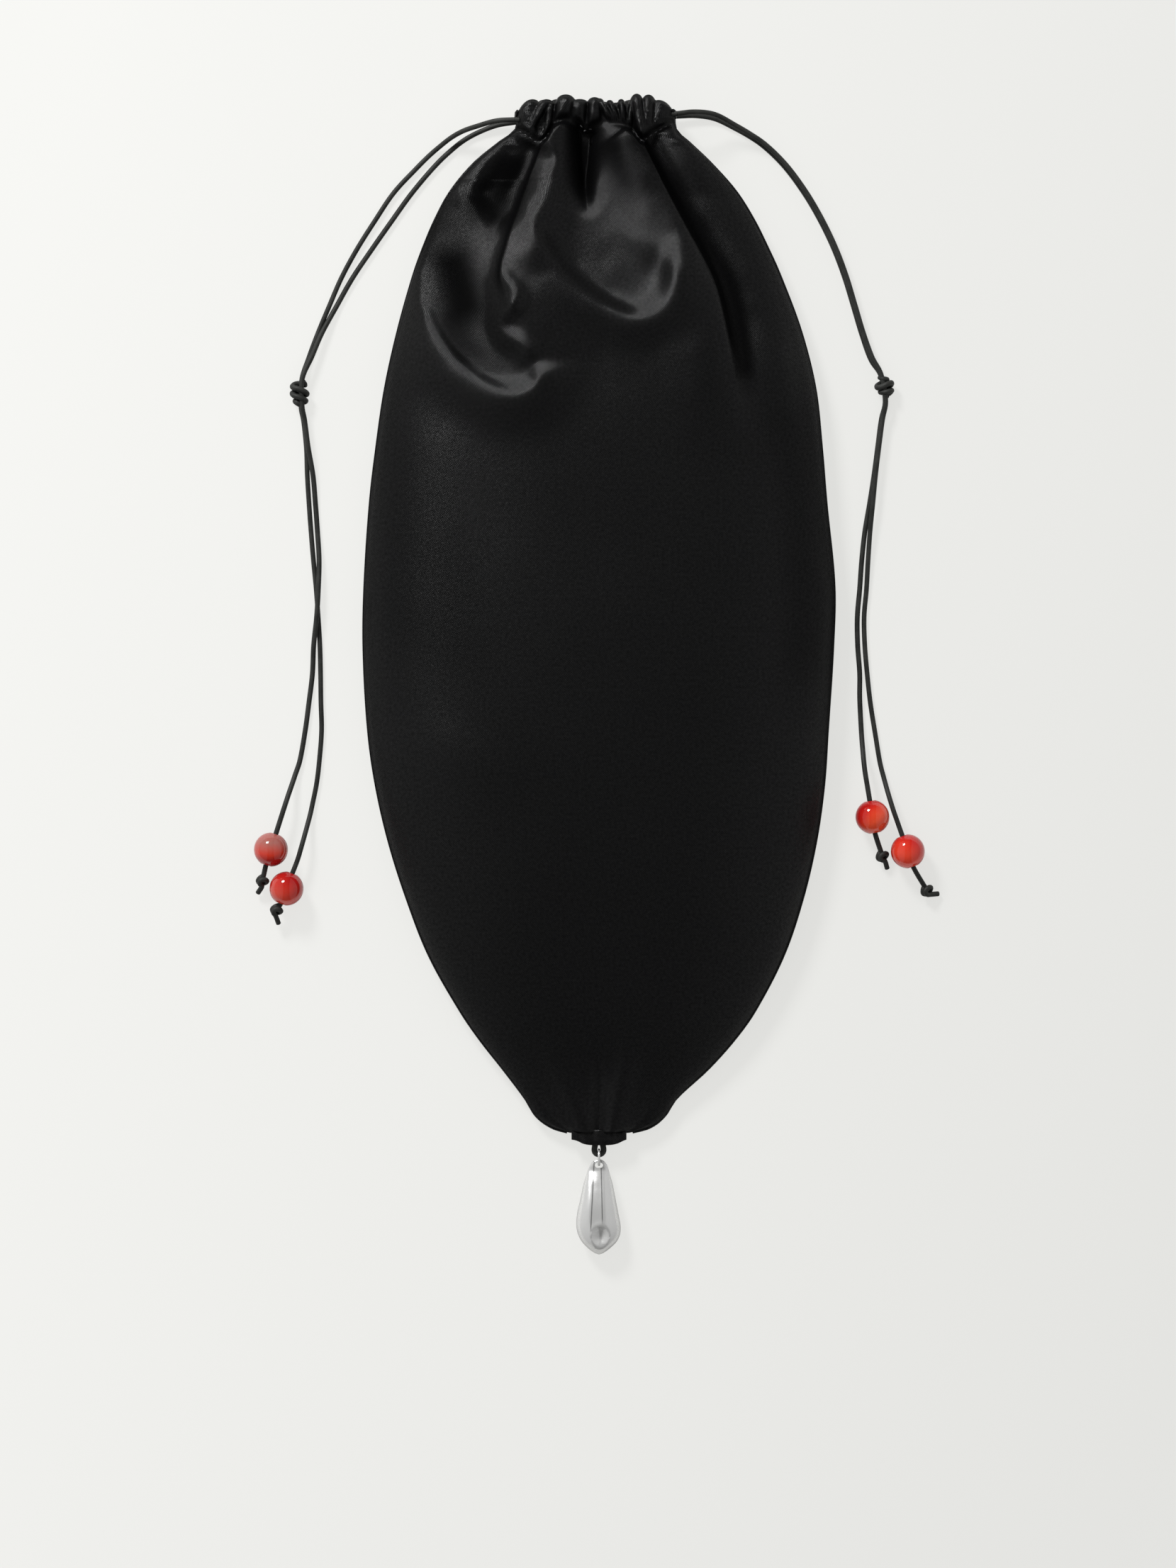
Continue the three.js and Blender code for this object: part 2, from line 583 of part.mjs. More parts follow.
// Routes of the free laces over the table, from the casing to the knots
const exitLeft = edge(-1, 1) - laceClearance;
const exitRight = edge(1, 1) + laceClearance;
const routes = {
  left_outer_lace: [
    [exitLeft, channelY - laceStagger, frontChannelZ], [-30, 163.0, 10.4], [-36, 161.6, 7.4], [-40, 160.4, 5.2],
    [-43.5, 158.6, 3.4], [-47, 156, 1.9], [-50.2, 153.3, 1.0], [-54, 149.5, lie], [-60.4, 142.6, lie],
    [-66, 134.3, lie], [-71.3, 125.9, lie], [-75.8, 117.6, lie], [-79.4, 109.3, lie], [-82.9, 100.9, lie],
    [-85.6, 93.6, 1.0], [-87.5, 87.6, 1.6],
  ],
  left_inner_lace: [
    [exitLeft, channelY - laceStagger, backChannelZ], [-30, 162.4, 1.6], [-35.2, 160.5, 1.0], [-39.8, 158, lie],
    [-43.6, 155, lie], [-47.9, 150.9, lie], [-55, 142.6, lie], [-61, 134.3, lie], [-66.9, 125.9, lie],
    [-72.5, 117.6, lie], [-77.2, 109.3, 0.9], [-81.7, 100.9, 2.2], [-84.6, 94, over + 0.2], [-87.3, 87.7, over + 0.8],
  ],
  right_under_lace: [
    [exitRight, channelY + laceStagger, backChannelZ], [28.5, 165.2, 1.8], [34, 164.4, 1.1], [40, 161.6, lie],
    [44.8, 158.9, lie], [48.5, 156.3, lie], [54.4, 150.6, lie], [60.5, 142.4, lie], [65.3, 134.2, lie],
    [69.3, 125.8, lie], [72.4, 117.5, lie], [74.9, 109.3, lie], [77.4, 100.9, lie], [80.2, 93.2, 0.9],
    [82.9, 89.0, 1.6],
  ],
  right_over_lace: [
    [exitRight, channelY + laceStagger, frontChannelZ], [28, 165.6, 10.4], [34, 165.1, 7.8], [40, 162.2, 5.2],
    [44.8, 159.5, 3.7], [48.7, 156.9, 2.8], [54.8, 151, over], [60.9, 142.8, over], [65.8, 134.4, over],
    [69.8, 126, over], [72.9, 117.7, over], [75.4, 109.4, over], [77.9, 101, over], [80.6, 93.6, over + 0.2],
    [82.9, 89.3, over + 0.7],
  ],
};
// Routes of the tails, from each knot to where the lace begins to rise towards its bead
const tails = {
  left_upper_tail: {
    bead: "left_upper_bead",
    points: [
      [-87.3, 79.0, over + 0.6], [-86.7, 75.9, over], [-85.6, 67.6, over], [-84.2, 59.3, 1.6], [-83.5, 50.9, lie],
      [-82.9, 42.6, lie], [-82.4, 34.3, 1.7], [-82.6, 25.9, over + 0.05], [-83.1, 17.6, over + 0.05],
      [-84.0, 9.3, 1.75], [-84.4, 0.9, lie], [-85.4, -7.4, lie], [-86.5, -15.7, lie],
    ],
  },
  left_lower_tail: {
    bead: "left_lower_bead",
    points: [
      [-87.7, 79.0, 1.1], [-87.1, 75.9, lie], [-86.2, 67.6, lie], [-85.9, 59.3, lie], [-85.4, 50.9, lie],
      [-84.8, 42.6, lie], [-84.1, 34.3, lie], [-83.3, 25.9, lie], [-82.7, 17.6, lie], [-82.2, 9.3, lie],
      [-82.0, 0.9, lie], [-81.9, -7.4, lie], [-81.7, -15.7, lie], [-82.3, -24.1, lie], [-83.1, -31, lie],
    ],
  },
  right_upper_tail: {
    bead: "right_upper_bead",
    points: [
      [84.3, 80.9, 1.2], [83.2, 75.9, lie], [82.1, 67.6, lie], [81.0, 59.3, lie], [79.7, 50.9, lie],
      [78.3, 42.6, lie], [77.4, 34.3, lie], [76.8, 25.9, lie], [76.1, 17.6, lie], [76.2, 9.3, lie],
      [76.8, 0.9, lie], [76.8, -6, lie],
    ],
  },
  right_lower_tail: {
    bead: "right_lower_bead",
    points: [
      [84.4, 80.9, over + 0.6], [83.5, 75.9, over], [82.4, 67.6, over], [81.4, 59.3, over], [80.6, 50.9, over - 0.1],
      [79.8, 42.6, 1.95], [79.25, 34.3, 1.3], [78.8, 25.9, lie], [78.1, 17.6, lie], [78.3, 9.3, lie],
      [79.0, 0.9, lie], [79.9, -7.4, lie], [81.4, -17, lie],
    ],
  },
};
const vectors = (points) => points.map((p) => new THREE.Vector3(...p));

// A lace rises to its bead's bore, runs straight through it and dips to the knot behind it
const straightRun = 13; // lace that lies in line behind the bead's centre
const riseRun = 14;
const beadApproach = (bead) => {
  const at = (run, z) => [bead.x + bead.back[0] * run, bead.y + bead.back[1] * run, z];
  const climb = (share) => lie + (bore - lie) * share;
  const toKnot = Math.hypot(bead.knot[0] - bead.x, bead.knot[1] - bead.y);
  const stop = 1 - (endKnotWidth / 2 + laceClearance) / toKnot;
  const end = [bead.x + (bead.knot[0] - bead.x) * stop, bead.y + (bead.knot[1] - bead.y) * stop];
  return [
    at(straightRun + riseRun, lie),
    at(straightRun + riseRun * 0.75, climb(0.1)),
    at(straightRun + riseRun * 0.5, climb(0.38)),
    at(straightRun + riseRun * 0.25, climb(0.76)),
    at(straightRun, climb(0.97)),
    at(straightRun * 0.7, bore),
    at(straightRun * 0.35, bore),
    [bead.x, bead.y, bore],
    at(-beadDiameter * 0.35, bore),
    at(-beadDiameter * 0.5, bore - 0.12),
    [...end, endKnotHeight(bead) + 0.1],
  ];
};
// A knot close behind its bead is held up by the bore; one further off sags towards the table
const endKnotHeight = (bead) => {
  const toKnot = Math.hypot(bead.knot[0] - bead.x, bead.knot[1] - bead.y);
  const free = toKnot - beadDiameter / 2 - endKnotWidth / 2;
  return Math.max(endKnotWidth / 2 + 0.4, bore - 0.5 * Math.max(0, free) - 0.3);
};
const addLace = (name, points) => {
  const curve = new THREE.CatmullRomCurve3(vectors(points), false, "centripetal");
  addPiece(name, tube(curve, laceDiameter, stepsFor(curve, laceDiameter)), leather);
};
for (const [name, points] of Object.entries(routes)) addLace(name, points);
for (const [name, tail] of Object.entries(tails)) {
  addLace(name, [...tail.points, ...beadApproach(beads[tail.bead])]);
}

// A knot: a rounded lump with the turns of lace standing up on it, its length along local Y
const knotLump = (length, width, height, turns, sides, rings) => {
  const rows = [];
  for (let r = 1; r < rings; r++) {
    const lift = (Math.PI * r) / rings;
    const row = [];
    for (let i = 0; i < sides; i++) {
      const turn = (2 * Math.PI * i) / sides;
      const swell = 0.93 + 0.07 * Math.cos(turns * lift * 2 + turn * 2);
      row.push(
        new THREE.Vector3(
          (width / 2) * Math.sin(lift) ** 0.8 * Math.cos(turn) * swell,
          (length / 2) * Math.cos(lift),
          (height / 2) * Math.sin(lift) ** 0.8 * Math.sin(turn) * swell,
        ),
      );
    }
    row.push(row[0]);
    rows.push(row);
  }
  const corners = [];
  for (let r = 0; r + 1 < rows.length; r++) stitch(corners, rows[r], rows[r + 1]);
  const top = new THREE.Vector3(0, length / 2, 0);
  const bottom = new THREE.Vector3(0, -length / 2, 0);
  for (let i = 0; i < sides; i++) {
    corners.push(top, rows[0][i + 1], rows[0][i]);
    corners.push(bottom, rows.at(-1)[i], rows.at(-1)[i + 1]);
  }
  return geometryOf(corners);
};
const middleKnot = (name, knot, turn) => {
  const lump = knotLump(knotLength, knotWidth, knotWidth * 0.82, 2, 14, 10);
  const mesh = addPiece(name, lump, leather);
  mesh.rotation.z = turn;
  mesh.position.set(knot.x, knot.y, (knotWidth * 0.82) / 2);
};
middleKnot("left_middle_knot", leftKnot, 0);
middleKnot("right_middle_knot", rightKnot, 0.2);

const endKnot = (name, bead) => {
  const height = endKnotHeight(bead);
  const centre = new THREE.Vector3(bead.knot[0], bead.knot[1], height);
  const toTip = new THREE.Vector3(bead.tip[0], bead.tip[1], Math.max(lie, height - 0.55 * stubLength)).sub(centre);
  const lump = knotLump(endKnotWidth * 0.92, endKnotWidth, endKnotWidth, 2, 12, 8);
  const heading = new THREE.Vector3(bead.x - centre.x, bead.y - centre.y, 0).normalize();
  lump.rotateZ(Math.atan2(-heading.x, heading.y));
  lump.translate(centre.x, centre.y, centre.z);
  const stub = tube(new THREE.LineCurve3(centre, centre.clone().add(toTip)), laceDiameter, 1);
  addPiece(name, fromSolid(toSolid(lump).add(toSolid(stub))), leather);
};

// A bead: a ball with a bore, its edges broken at the bore's mouths
const beadProfile = () => {
  const points = [];
  const radius = beadDiameter / 2;
  const boreRadius = boreDiameter / 2;
  const mouth = Math.asin((boreRadius + 0.3) / radius);
  const arcs = 12;
  for (let i = 0; i <= arcs; i++) {
    const turn = mouth + ((Math.PI - 2 * mouth) * i) / arcs;
    points.push(new THREE.Vector2(radius * Math.sin(turn), -radius * Math.cos(turn)));
  }
  const lip = radius * Math.cos(mouth) - 0.25;
  points.push(new THREE.Vector2(boreRadius, lip));
  points.push(new THREE.Vector2(boreRadius, -lip));
  points.push(points[0].clone());
  return points;
};
for (const [name, bead] of Object.entries(beads)) {
  const mesh = addPiece(name, new THREE.LatheGeometry(beadProfile(), 20), carnelian);
  mesh.rotation.z = Math.atan2(-bead.back[0], bead.back[1]);
  mesh.position.set(bead.x, bead.y, bore);
  endKnot(name.replace("bead", "end_knot"), bead);
}

export default part;
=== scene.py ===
# %% [markdown]
# A kinchaku pouch: black satin gathered on two leather laces, with round stone beads on the
# ends of the laces and a silver drop on a leather loop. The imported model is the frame, and each
# piece is built in metres where that frame has it. The pouch lies on its back, its mouth at +Y.

# %% Frame and helpers
import math

import bpy
import numpy as np
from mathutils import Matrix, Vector


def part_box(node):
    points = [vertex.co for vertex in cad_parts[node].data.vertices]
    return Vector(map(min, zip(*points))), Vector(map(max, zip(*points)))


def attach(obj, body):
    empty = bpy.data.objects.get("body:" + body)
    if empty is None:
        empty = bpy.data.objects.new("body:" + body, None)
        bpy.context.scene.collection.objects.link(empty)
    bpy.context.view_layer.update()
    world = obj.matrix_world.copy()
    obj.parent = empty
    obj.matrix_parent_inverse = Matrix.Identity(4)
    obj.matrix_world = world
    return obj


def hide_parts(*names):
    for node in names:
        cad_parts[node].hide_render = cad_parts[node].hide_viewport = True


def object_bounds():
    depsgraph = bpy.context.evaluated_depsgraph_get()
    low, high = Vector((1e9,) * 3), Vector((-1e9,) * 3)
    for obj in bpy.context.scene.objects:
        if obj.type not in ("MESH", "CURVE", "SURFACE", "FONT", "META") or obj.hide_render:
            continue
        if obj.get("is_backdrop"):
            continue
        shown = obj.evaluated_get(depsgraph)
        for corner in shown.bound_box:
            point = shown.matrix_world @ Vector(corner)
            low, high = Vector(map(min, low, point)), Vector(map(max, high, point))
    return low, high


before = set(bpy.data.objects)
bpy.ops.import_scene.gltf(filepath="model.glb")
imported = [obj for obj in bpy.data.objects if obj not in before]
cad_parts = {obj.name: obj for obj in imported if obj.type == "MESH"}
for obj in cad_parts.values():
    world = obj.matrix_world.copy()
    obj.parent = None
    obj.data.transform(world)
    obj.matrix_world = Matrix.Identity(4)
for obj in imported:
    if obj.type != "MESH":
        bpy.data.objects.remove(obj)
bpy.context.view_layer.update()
MM = 0.001


def start_fresh():
    """Nothing stays selected, so that an operator acts on the new piece alone."""
    bpy.ops.object.select_all(action="DESELECT")


def select_only(piece):
    start_fresh()
    piece.select_set(True)
    bpy.context.view_layer.objects.active = piece


def settle(piece, name):
    """A finished piece: its place goes into its mesh and its object sits at the origin."""
    select_only(piece)
    bpy.ops.object.transform_apply(location=True, rotation=True, scale=True)
    piece.name = piece.data.name = name
    return piece


def centre_of(node):
    low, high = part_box(node)
    return (low + high) / 2


# %% [markdown]
# The camera looks straight down at the pouch, as the photograph does. A long lens keeps the
# bead, the lace and the cloth at one scale, because their heights differ by only 2 cm.

# %% Camera
PHOTO_WIDTH, PHOTO_HEIGHT = 1659, 2212
PHOTO_ORIGIN = (845, 954.5)  # where the frame's origin is in the photograph
PIXELS_PER_MM = 4.8
VIEW_LEVEL = 6 * MM  # the height at which the scale is true
LENS, SENSOR = 180.0, 36.0


def from_photo(x, y):
    """Millimetres across and along the pouch, from a place in the photograph."""
    return (x - PHOTO_ORIGIN[0]) / PIXELS_PER_MM, (PHOTO_ORIGIN[1] - y) / PIXELS_PER_MM


view_x, view_y = from_photo(PHOTO_WIDTH / 2, PHOTO_HEIGHT / 2)
view_distance = PHOTO_HEIGHT / PIXELS_PER_MM * MM * LENS / SENSOR
start_fresh()
bpy.ops.object.camera_add(location=(view_x * MM, view_y * MM, VIEW_LEVEL + view_distance))
camera = bpy.context.object
camera.data.lens = LENS
camera.data.sensor_width = SENSOR
camera.data.clip_end = 20
bpy.context.scene.camera = camera
print("camera height", round(camera.location.z, 3))

# %% [markdown]
# Each drawstring is one round leather lace. A lace keeps its route point by point, and a curve
# with a round bevel gives it its thickness. The photograph shows each one from the casing to
# its end, so its length is the length of its route. The points are those of the solid model.

# %% Routes of the laces
LACE = 1.5  # diameter, in millimetres
REST, OVER, BORE = 0.85, 2.65, 5.0  # heights on the table, over a lace and through a bead
BEAD_RADIUS = 5.0
KNOT_REST, KNOT_HALF = 2.35, 1.95  # an end knot: its height on the table, half its length
CHANNEL_Y, FRONT_Z, BACK_Z = 164.128, 11.2, 2.2  # the laces' place inside the casings
OFFSET_Y = 0.9  # the two laces lie this far to either side of the channel's middle
LEFT_EXIT, RIGHT_EXIT = -24.7288, 22.855  # where the casings end

left_over_part = [
    (LEFT_EXIT, CHANNEL_Y - OFFSET_Y, FRONT_Z), (-30, 163.0, 10.4), (-36, 161.6, 7.4),
    (-40, 160.4, 5.2), (-43.5, 158.6, 3.4), (-47, 156, 1.9), (-50.2, 153.3, 1.0),
    (-54, 149.5, REST), (-60.4, 142.6, REST), (-66, 134.3, REST), (-71.3, 125.9, REST),
    (-75.8, 117.6, REST), (-79.4, 109.3, REST), (-82.9, 100.9, REST), (-85.6, 93.6, 1.0),
    (-87.5, 87.6, 1.6),
]
left_under_part = [
    (LEFT_EXIT, CHANNEL_Y - OFFSET_Y, BACK_Z), (-30, 162.4, 1.6), (-35.2, 160.5, 1.0),
    (-39.8, 158, REST), (-43.6, 155, REST), (-47.9, 150.9, REST), (-55, 142.6, REST),
    (-61, 134.3, REST), (-66.9, 125.9, REST), (-72.5, 117.6, REST), (-77.2, 109.3, 0.9),
    (-81.7, 100.9, 2.2), (-84.6, 94, OVER + 0.2), (-87.3, 87.7, OVER + 0.8),
]
right_under_part = [
    (RIGHT_EXIT, CHANNEL_Y + OFFSET_Y, BACK_Z), (28.5, 165.2, 1.8), (34, 164.4, 1.1),
    (40, 161.6, REST), (44.8, 158.9, REST), (48.5, 156.3, REST), (54.4, 150.6, REST),
    (60.5, 142.4, REST), (65.3, 134.2, REST), (69.3, 125.8, REST), (72.4, 117.5, REST),
    (74.9, 109.3, REST), (77.4, 100.9, REST), (80.2, 93.2, 0.9), (82.9, 89.0, 1.6),
]
right_over_part = [
    (RIGHT_EXIT, CHANNEL_Y + OFFSET_Y, FRONT_Z), (28, 165.6, 10.4), (34, 165.1, 7.8),
    (40, 162.2, 5.2), (44.8, 159.5, 3.7), (48.7, 156.9, 2.8), (54.8, 151, OVER),
    (60.9, 142.8, OVER), (65.8, 134.4, OVER), (69.8, 126, OVER), (72.9, 117.7, OVER),
    (75.4, 109.4, OVER), (77.9, 101, OVER), (80.6, 93.6, OVER + 0.2), (82.9, 89.3, OVER + 0.7),
]
left_upper_part = [
    (-87.3, 79.0, OVER + 0.6), (-86.7, 75.9, OVER), (-85.6, 67.6, OVER), (-84.2, 59.3, 1.6),
    (-83.5, 50.9, REST), (-82.9, 42.6, REST), (-82.4, 34.3, 1.7), (-82.6, 25.9, OVER + 0.05),
    (-83.1, 17.6, OVER + 0.05), (-84.0, 9.3, 1.75), (-84.4, 0.9, REST), (-85.4, -7.4, REST),
    (-86.5, -15.7, REST),
]
left_lower_part = [
    (-87.7, 79.0, 1.1), (-87.1, 75.9, REST), (-86.2, 67.6, REST), (-85.9, 59.3, REST),
    (-85.4, 50.9, REST), (-84.8, 42.6, REST), (-84.1, 34.3, REST), (-83.3, 25.9, REST),
    (-82.7, 17.6, REST), (-82.2, 9.3, REST), (-82.0, 0.9, REST), (-81.9, -7.4, REST),
    (-81.7, -15.7, REST), (-82.3, -24.1, REST), (-83.1, -31, REST),
]
right_upper_part = [
    (84.3, 80.9, 1.2), (83.2, 75.9, REST), (82.1, 67.6, REST), (81.0, 59.3, REST),
    (79.7, 50.9, REST), (78.3, 42.6, REST), (77.4, 34.3, REST), (76.8, 25.9, REST),
    (76.1, 17.6, REST), (76.2, 9.3, REST), (76.8, 0.9, REST), (76.8, -6, REST),
]
right_lower_part = [
    (84.4, 80.9, OVER + 0.6), (83.5, 75.9, OVER), (82.4, 67.6, OVER), (81.4, 59.3, OVER),
    (80.6, 50.9, OVER - 0.1), (79.8, 42.6, 1.95), (79.25, 34.3, 1.3), (78.8, 25.9, REST),
    (78.1, 17.6, REST), (78.3, 9.3, REST), (79.0, 0.9, REST), (79.9, -7.4, REST),
    (81.4, -17, REST),
]
# Each bead's centre, the way its lace comes to it, its end knot and the tip of the stub
beads = {
    "left_upper_bead": ((-96.46, -50.83), (0.302, 0.953), (-99.06, -60.3), (-100.4, -63.6)),
    "left_lower_bead": ((-91.88, -62.3), (0.36, 0.933), (-94.9, -68.9), (-94.3, -72.6)),
    "right_upper_bead": ((80.4, -41.25), (-0.162, 0.987), (83.5, -53.0), (84.9, -56.4)),
    "right_lower_bead": ((90.8, -51.35), (-0.333, 0.943), (96.67, -63.1), (99.9, -63.9)),
}


def end_knot_height(bead):
    """A knot close behind its bead hangs from the bore; one further off sags to the table."""
    (x, y), _, (knot_x, knot_y), _ = beads[bead]
    free = math.hypot(knot_x - x, knot_y - y) - BEAD_RADIUS - KNOT_HALF
    return max(KNOT_REST, BORE - 0.5 * max(0, free) - 0.3)


# Where each lace comes from before it runs straight into its bead, farthest first
ways = {
    "left_upper_bead": [(-88.2, -25.1), (-89.3, -28.4), (-90.4, -31.8)],
    "left_lower_bead": [(-84.3, -37.1), (-85.0, -40.4), (-85.8, -43.6), (-86.65, -46.9),
                        (-87.55, -50.2)],
    "right_upper_bead": [(77.2, -14.6), (77.4, -18.05), (77.65, -21.5), (77.9, -24.96)],
    "right_lower_bead": [(82.9, -25.9), (83.75, -29.2), (84.6, -32.5), (85.5, -35.8),
                         (86.5, -39.1)],
}


def through_bead(bead):
    """The lace rises to the bore, runs straight through it and dips to the knot behind it."""
    (x, y), (back_x, back_y), (knot_x, knot_y), _ = beads[bead]
    # distance back from the bead's centre, and height
    runs = [(27, REST), (23.5, 1.265), (20, 2.427), (16.5, 4.004), (13, 4.8755),
            (9.1, BORE), (4.55, BORE), (0, BORE), (-3.5, BORE), (-5, BORE - 0.12)]
    points = [(x + back_x * run, y + back_y * run, z) for run, z in runs]
    for i, way in enumerate(ways[bead]):
        points[i] = (*way, runs[i][1])
    return points + [(knot_x, knot_y, end_knot_height(bead))]


# Each lace of this scene: its points, its bead and the two solids that it stands for
laces = {
    "left_under_lace": (left_under_part + left_upper_part, "left_upper_bead",
                        ("left_inner_lace", "left_upper_tail")),
    "left_over_lace": (left_over_part + left_lower_part, "left_lower_bead",
                       ("left_outer_lace", "left_lower_tail")),
    "right_lower_strand": (right_under_part + right_upper_part, "right_upper_bead",
                           ("right_under_lace", "right_upper_tail")),
    "right_upper_strand": (right_over_part + right_lower_part, "right_lower_bead",
                           ("right_over_lace", "right_lower_tail")),
}


def smooth_route(points, step=1.0):
    """A centripetal spline through the points, one point to about each step of millimetres."""
    p = [np.array(q, float) for q in points]
    p = [2 * p[0] - p[1]] + p + [2 * p[-1] - p[-2]]
    made = []
    for a, b, c, d in zip(p, p[1:], p[2:], p[3:]):
        k0, k1, k2 = (max(1e-6, np.linalg.norm(v) ** 0.5) for v in (b - a, c - b, d - c))
        t1, t2, t3 = k0, k0 + k1, k0 + k1 + k2
        for t in np.linspace(t1, t2, max(2, int(np.linalg.norm(c - b) / step) + 1))[:-1]:
            ab = a * (t1 - t) / t1 + b * t / t1
            bc = b * (t2 - t) / (t2 - t1) + c * (t - t1) / (t2 - t1)
            cd = c * (t3 - t) / (t3 - t2) + d * (t - t2) / (t3 - t2)
            abc = ab * (t2 - t) / t2 + bc * t / t2
            bcd = bc * (t3 - t) / (t3 - t1) + cd * (t - t1) / (t3 - t1)
            made.append(abc * (t2 - t) / (t2 - t1) + bcd * (t - t1) / (t2 - t1))
    return np.array(made + [p[-2]])


def lace_curve(name, route, diameter=LACE, sides=3):
    """A round lace on its route, in millimetres, with closed ends."""
    shape = bpy.data.curves.new(name, "CURVE")
    shape.dimensions = "3D"
    line = shape.splines.new("POLY")
    line.points.add(len(route) - 1)
    line.points.foreach_set("co", np.c_[route * MM, np.ones(len(route))].ravel())
    shape.bevel_depth = diameter / 2 * MM
    shape.bevel_resolution = sides
    shape.use_fill_caps = True
    piece = bpy.data.objects.new(name, shape)
    bpy.context.scene.collection.objects.link(piece)
    select_only(piece)
    bpy.ops.object.convert(target="MESH")
    piece = bpy.context.object
    bpy.ops.object.shade_smooth_by_angle(angle=math.radians(50))
    piece.name = piece.data.name = name
    return piece


leather_pieces = []
for name, (points, bead, solids) in laces.items():
    route = smooth_route(points + through_bead(bead))
    length = float(np.linalg.norm(np.diff(route, axis=0), axis=1).sum())
    lace = lace_curve(name, route)
    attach(lace, "pouch")
    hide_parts(*solids)
    leather_pieces.append(lace)
    end_knot = bead.replace("bead", "end_knot")
    side_knot = bead.split("_")[0] + "_middle_knot"
    laces[name] += (lace, length, route, end_knot, side_knot)
    print(name, round(length, 1), "mm")

# %% [markdown]
# Inside the gathered casings each lace runs across the front, round the far side and back
# across the back. Little of it shows, so one simple bend at the far side is enough.

# %% Laces in the casings
END_CLEAR, END_BULGE = 8.2, 2.4  # room to the casing's rounded end, and depth of the bend
for side, name in ((-1, "left_lace_in_casing"), (1, "right_lace_in_casing")):
    low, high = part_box(name)
    near = RIGHT_EXIT if side > 0 else LEFT_EXIT
    far = (low.x if side > 0 else high.x) / MM + side * END_CLEAR
    y = CHANNEL_Y + side * OFFSET_Y
    bend, bend_z = (FRONT_Z - BACK_Z) / 2, (FRONT_Z + BACK_Z) / 2
    turn = np.linspace(math.pi / 2, -math.pi / 2, 17)
    arc = [(far + side * END_BULGE * (1 - math.cos(t)), y, bend_z + bend * math.sin(t))
           for t in turn]
    route = [(near, y, FRONT_Z), (near * 0.85, y, FRONT_Z), (0, y, FRONT_Z - 0.3), *arc,
             (0, y, BACK_Z + 0.2), (near * 0.85, y, BACK_Z), (near, y, BACK_Z)]
    lace = lace_curve(name + "_strand", smooth_route(route))
    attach(lace, "pouch")
    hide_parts(name)
    leather_pieces.append(lace)
    print(name, "from", round(near, 1), "to", round(far, 1))

# %% [markdown]
# The bag is two panels of satin, sewn down both sides and gathered at the neck. Each panel is
# one sheet: a grid primitive whose points are laid over a shape that is worked out from the
# outline, the filling and the folds. A cloth simulation would gather it too, but not into the
# folds that this one has. First come two helpers that the shape needs.

# %% Smooth tables and steps
# share of the length from the base, then half the width on the left and on the right
OUTLINE = np.array([
    (0, .125, .13), (.005, .2, .215), (.016, .268, .28), (.034, .318, .333), (.062, .41, .465),
    (.09, .506, .575), (.118, .59, .663), (.172, .723, .785), (.227, .817, .866),
    (.282, .893, .922), (.337, .948, .956), (.391, .981, .972), (.47, 1, .994), (.53, .996, 1),
    (.611, .973, .966), (.666, .945, .946), (.722, .909, .919), (.777, .856, .859),
    (.831, .79, .771), (.858, .748, .718), (.886, .696, .657), (.913, .631, .582),
    (.94, .532, .477), (.96, .425, .385), (.972, .357, .33), (1, .352, .325)])
BASE_Y, LENGTH, HALF = -134.2, 303.2, 69.4
NECK_Y = BASE_Y + LENGTH
NECK = (0.905, 0.965)  # the shares of the length over which the body turns into the casing
LIP = 3.4  # length of the casing's closed top
WALL, NECK_DEPTH, CASING_DEPTH = 1.0, 13.4, 4.4
# share of the length, then the height of the front's crown and of the side seams
DEPTHS = np.array([(0, 6.2), (.05, 8.7), (.12, 14.5), (.25, 21.5), (.42, 25), (.58, 25),
                   (.75, 23.25), (.88, 17.3), (.955, 13.4), (1, 13.4)])
SEAMS = np.array([(0, 3.1), (.12, 5), (.4, 7), (.7, 7), (.955, 6.7), (1, 6.7)])


def read_table(rows, place, column=1):
    """A smooth value read from rows of (place, value, ...), for an array of places."""
    x, y = rows[:, 0], rows[:, column]
    i = np.clip(np.searchsorted(x, place, side="right") - 1, 0, len(x) - 2)
    ends = np.arange(len(x))
    before, after = np.maximum(ends - 1, 0), np.minimum(ends + 1, len(x) - 1)
    slope = (y[after] - y[before]) / (x[after] - x[before])
    span = x[i + 1] - x[i]
    f = np.clip((place - x[i]) / span, 0, 1)
    return ((2 * f**3 - 3 * f**2 + 1) * y[i] + (f**3 - 2 * f**2 + f) * span * slope[i]
            + (3 * f**2 - 2 * f**3) * y[i + 1] + (f**3 - f**2) * span * slope[i + 1])


def ease(start, end, value):
    f = np.clip((value - start) / (end - start), 0, 1)
    return f * f * (3 - 2 * f)


def edge_x(side, along):
    return side * HALF * read_table(OUTLINE, along, 1 if side < 0 else 2)


def in_outline(across, along):
    """The place on the flat outline, from a share of the width and one of the length."""
    left, right = edge_x(-1, along), edge_x(1, along)
    return (left + right) / 2 + (right - left) / 2 * across, BASE_Y + along * LENGTH


print("neck from", round(float(edge_x(-1, 1)), 1), "to", round(float(edge_x(1, 1)), 1))

# %% [markdown]
# The folds are lines with a height and a reach to each side. The two tongues have a sharp side
# where the cloth turns over and hangs a little beyond its own foot, so these lines also push
# the cloth sideways. The slings are the soft curved ridges that catch the light.

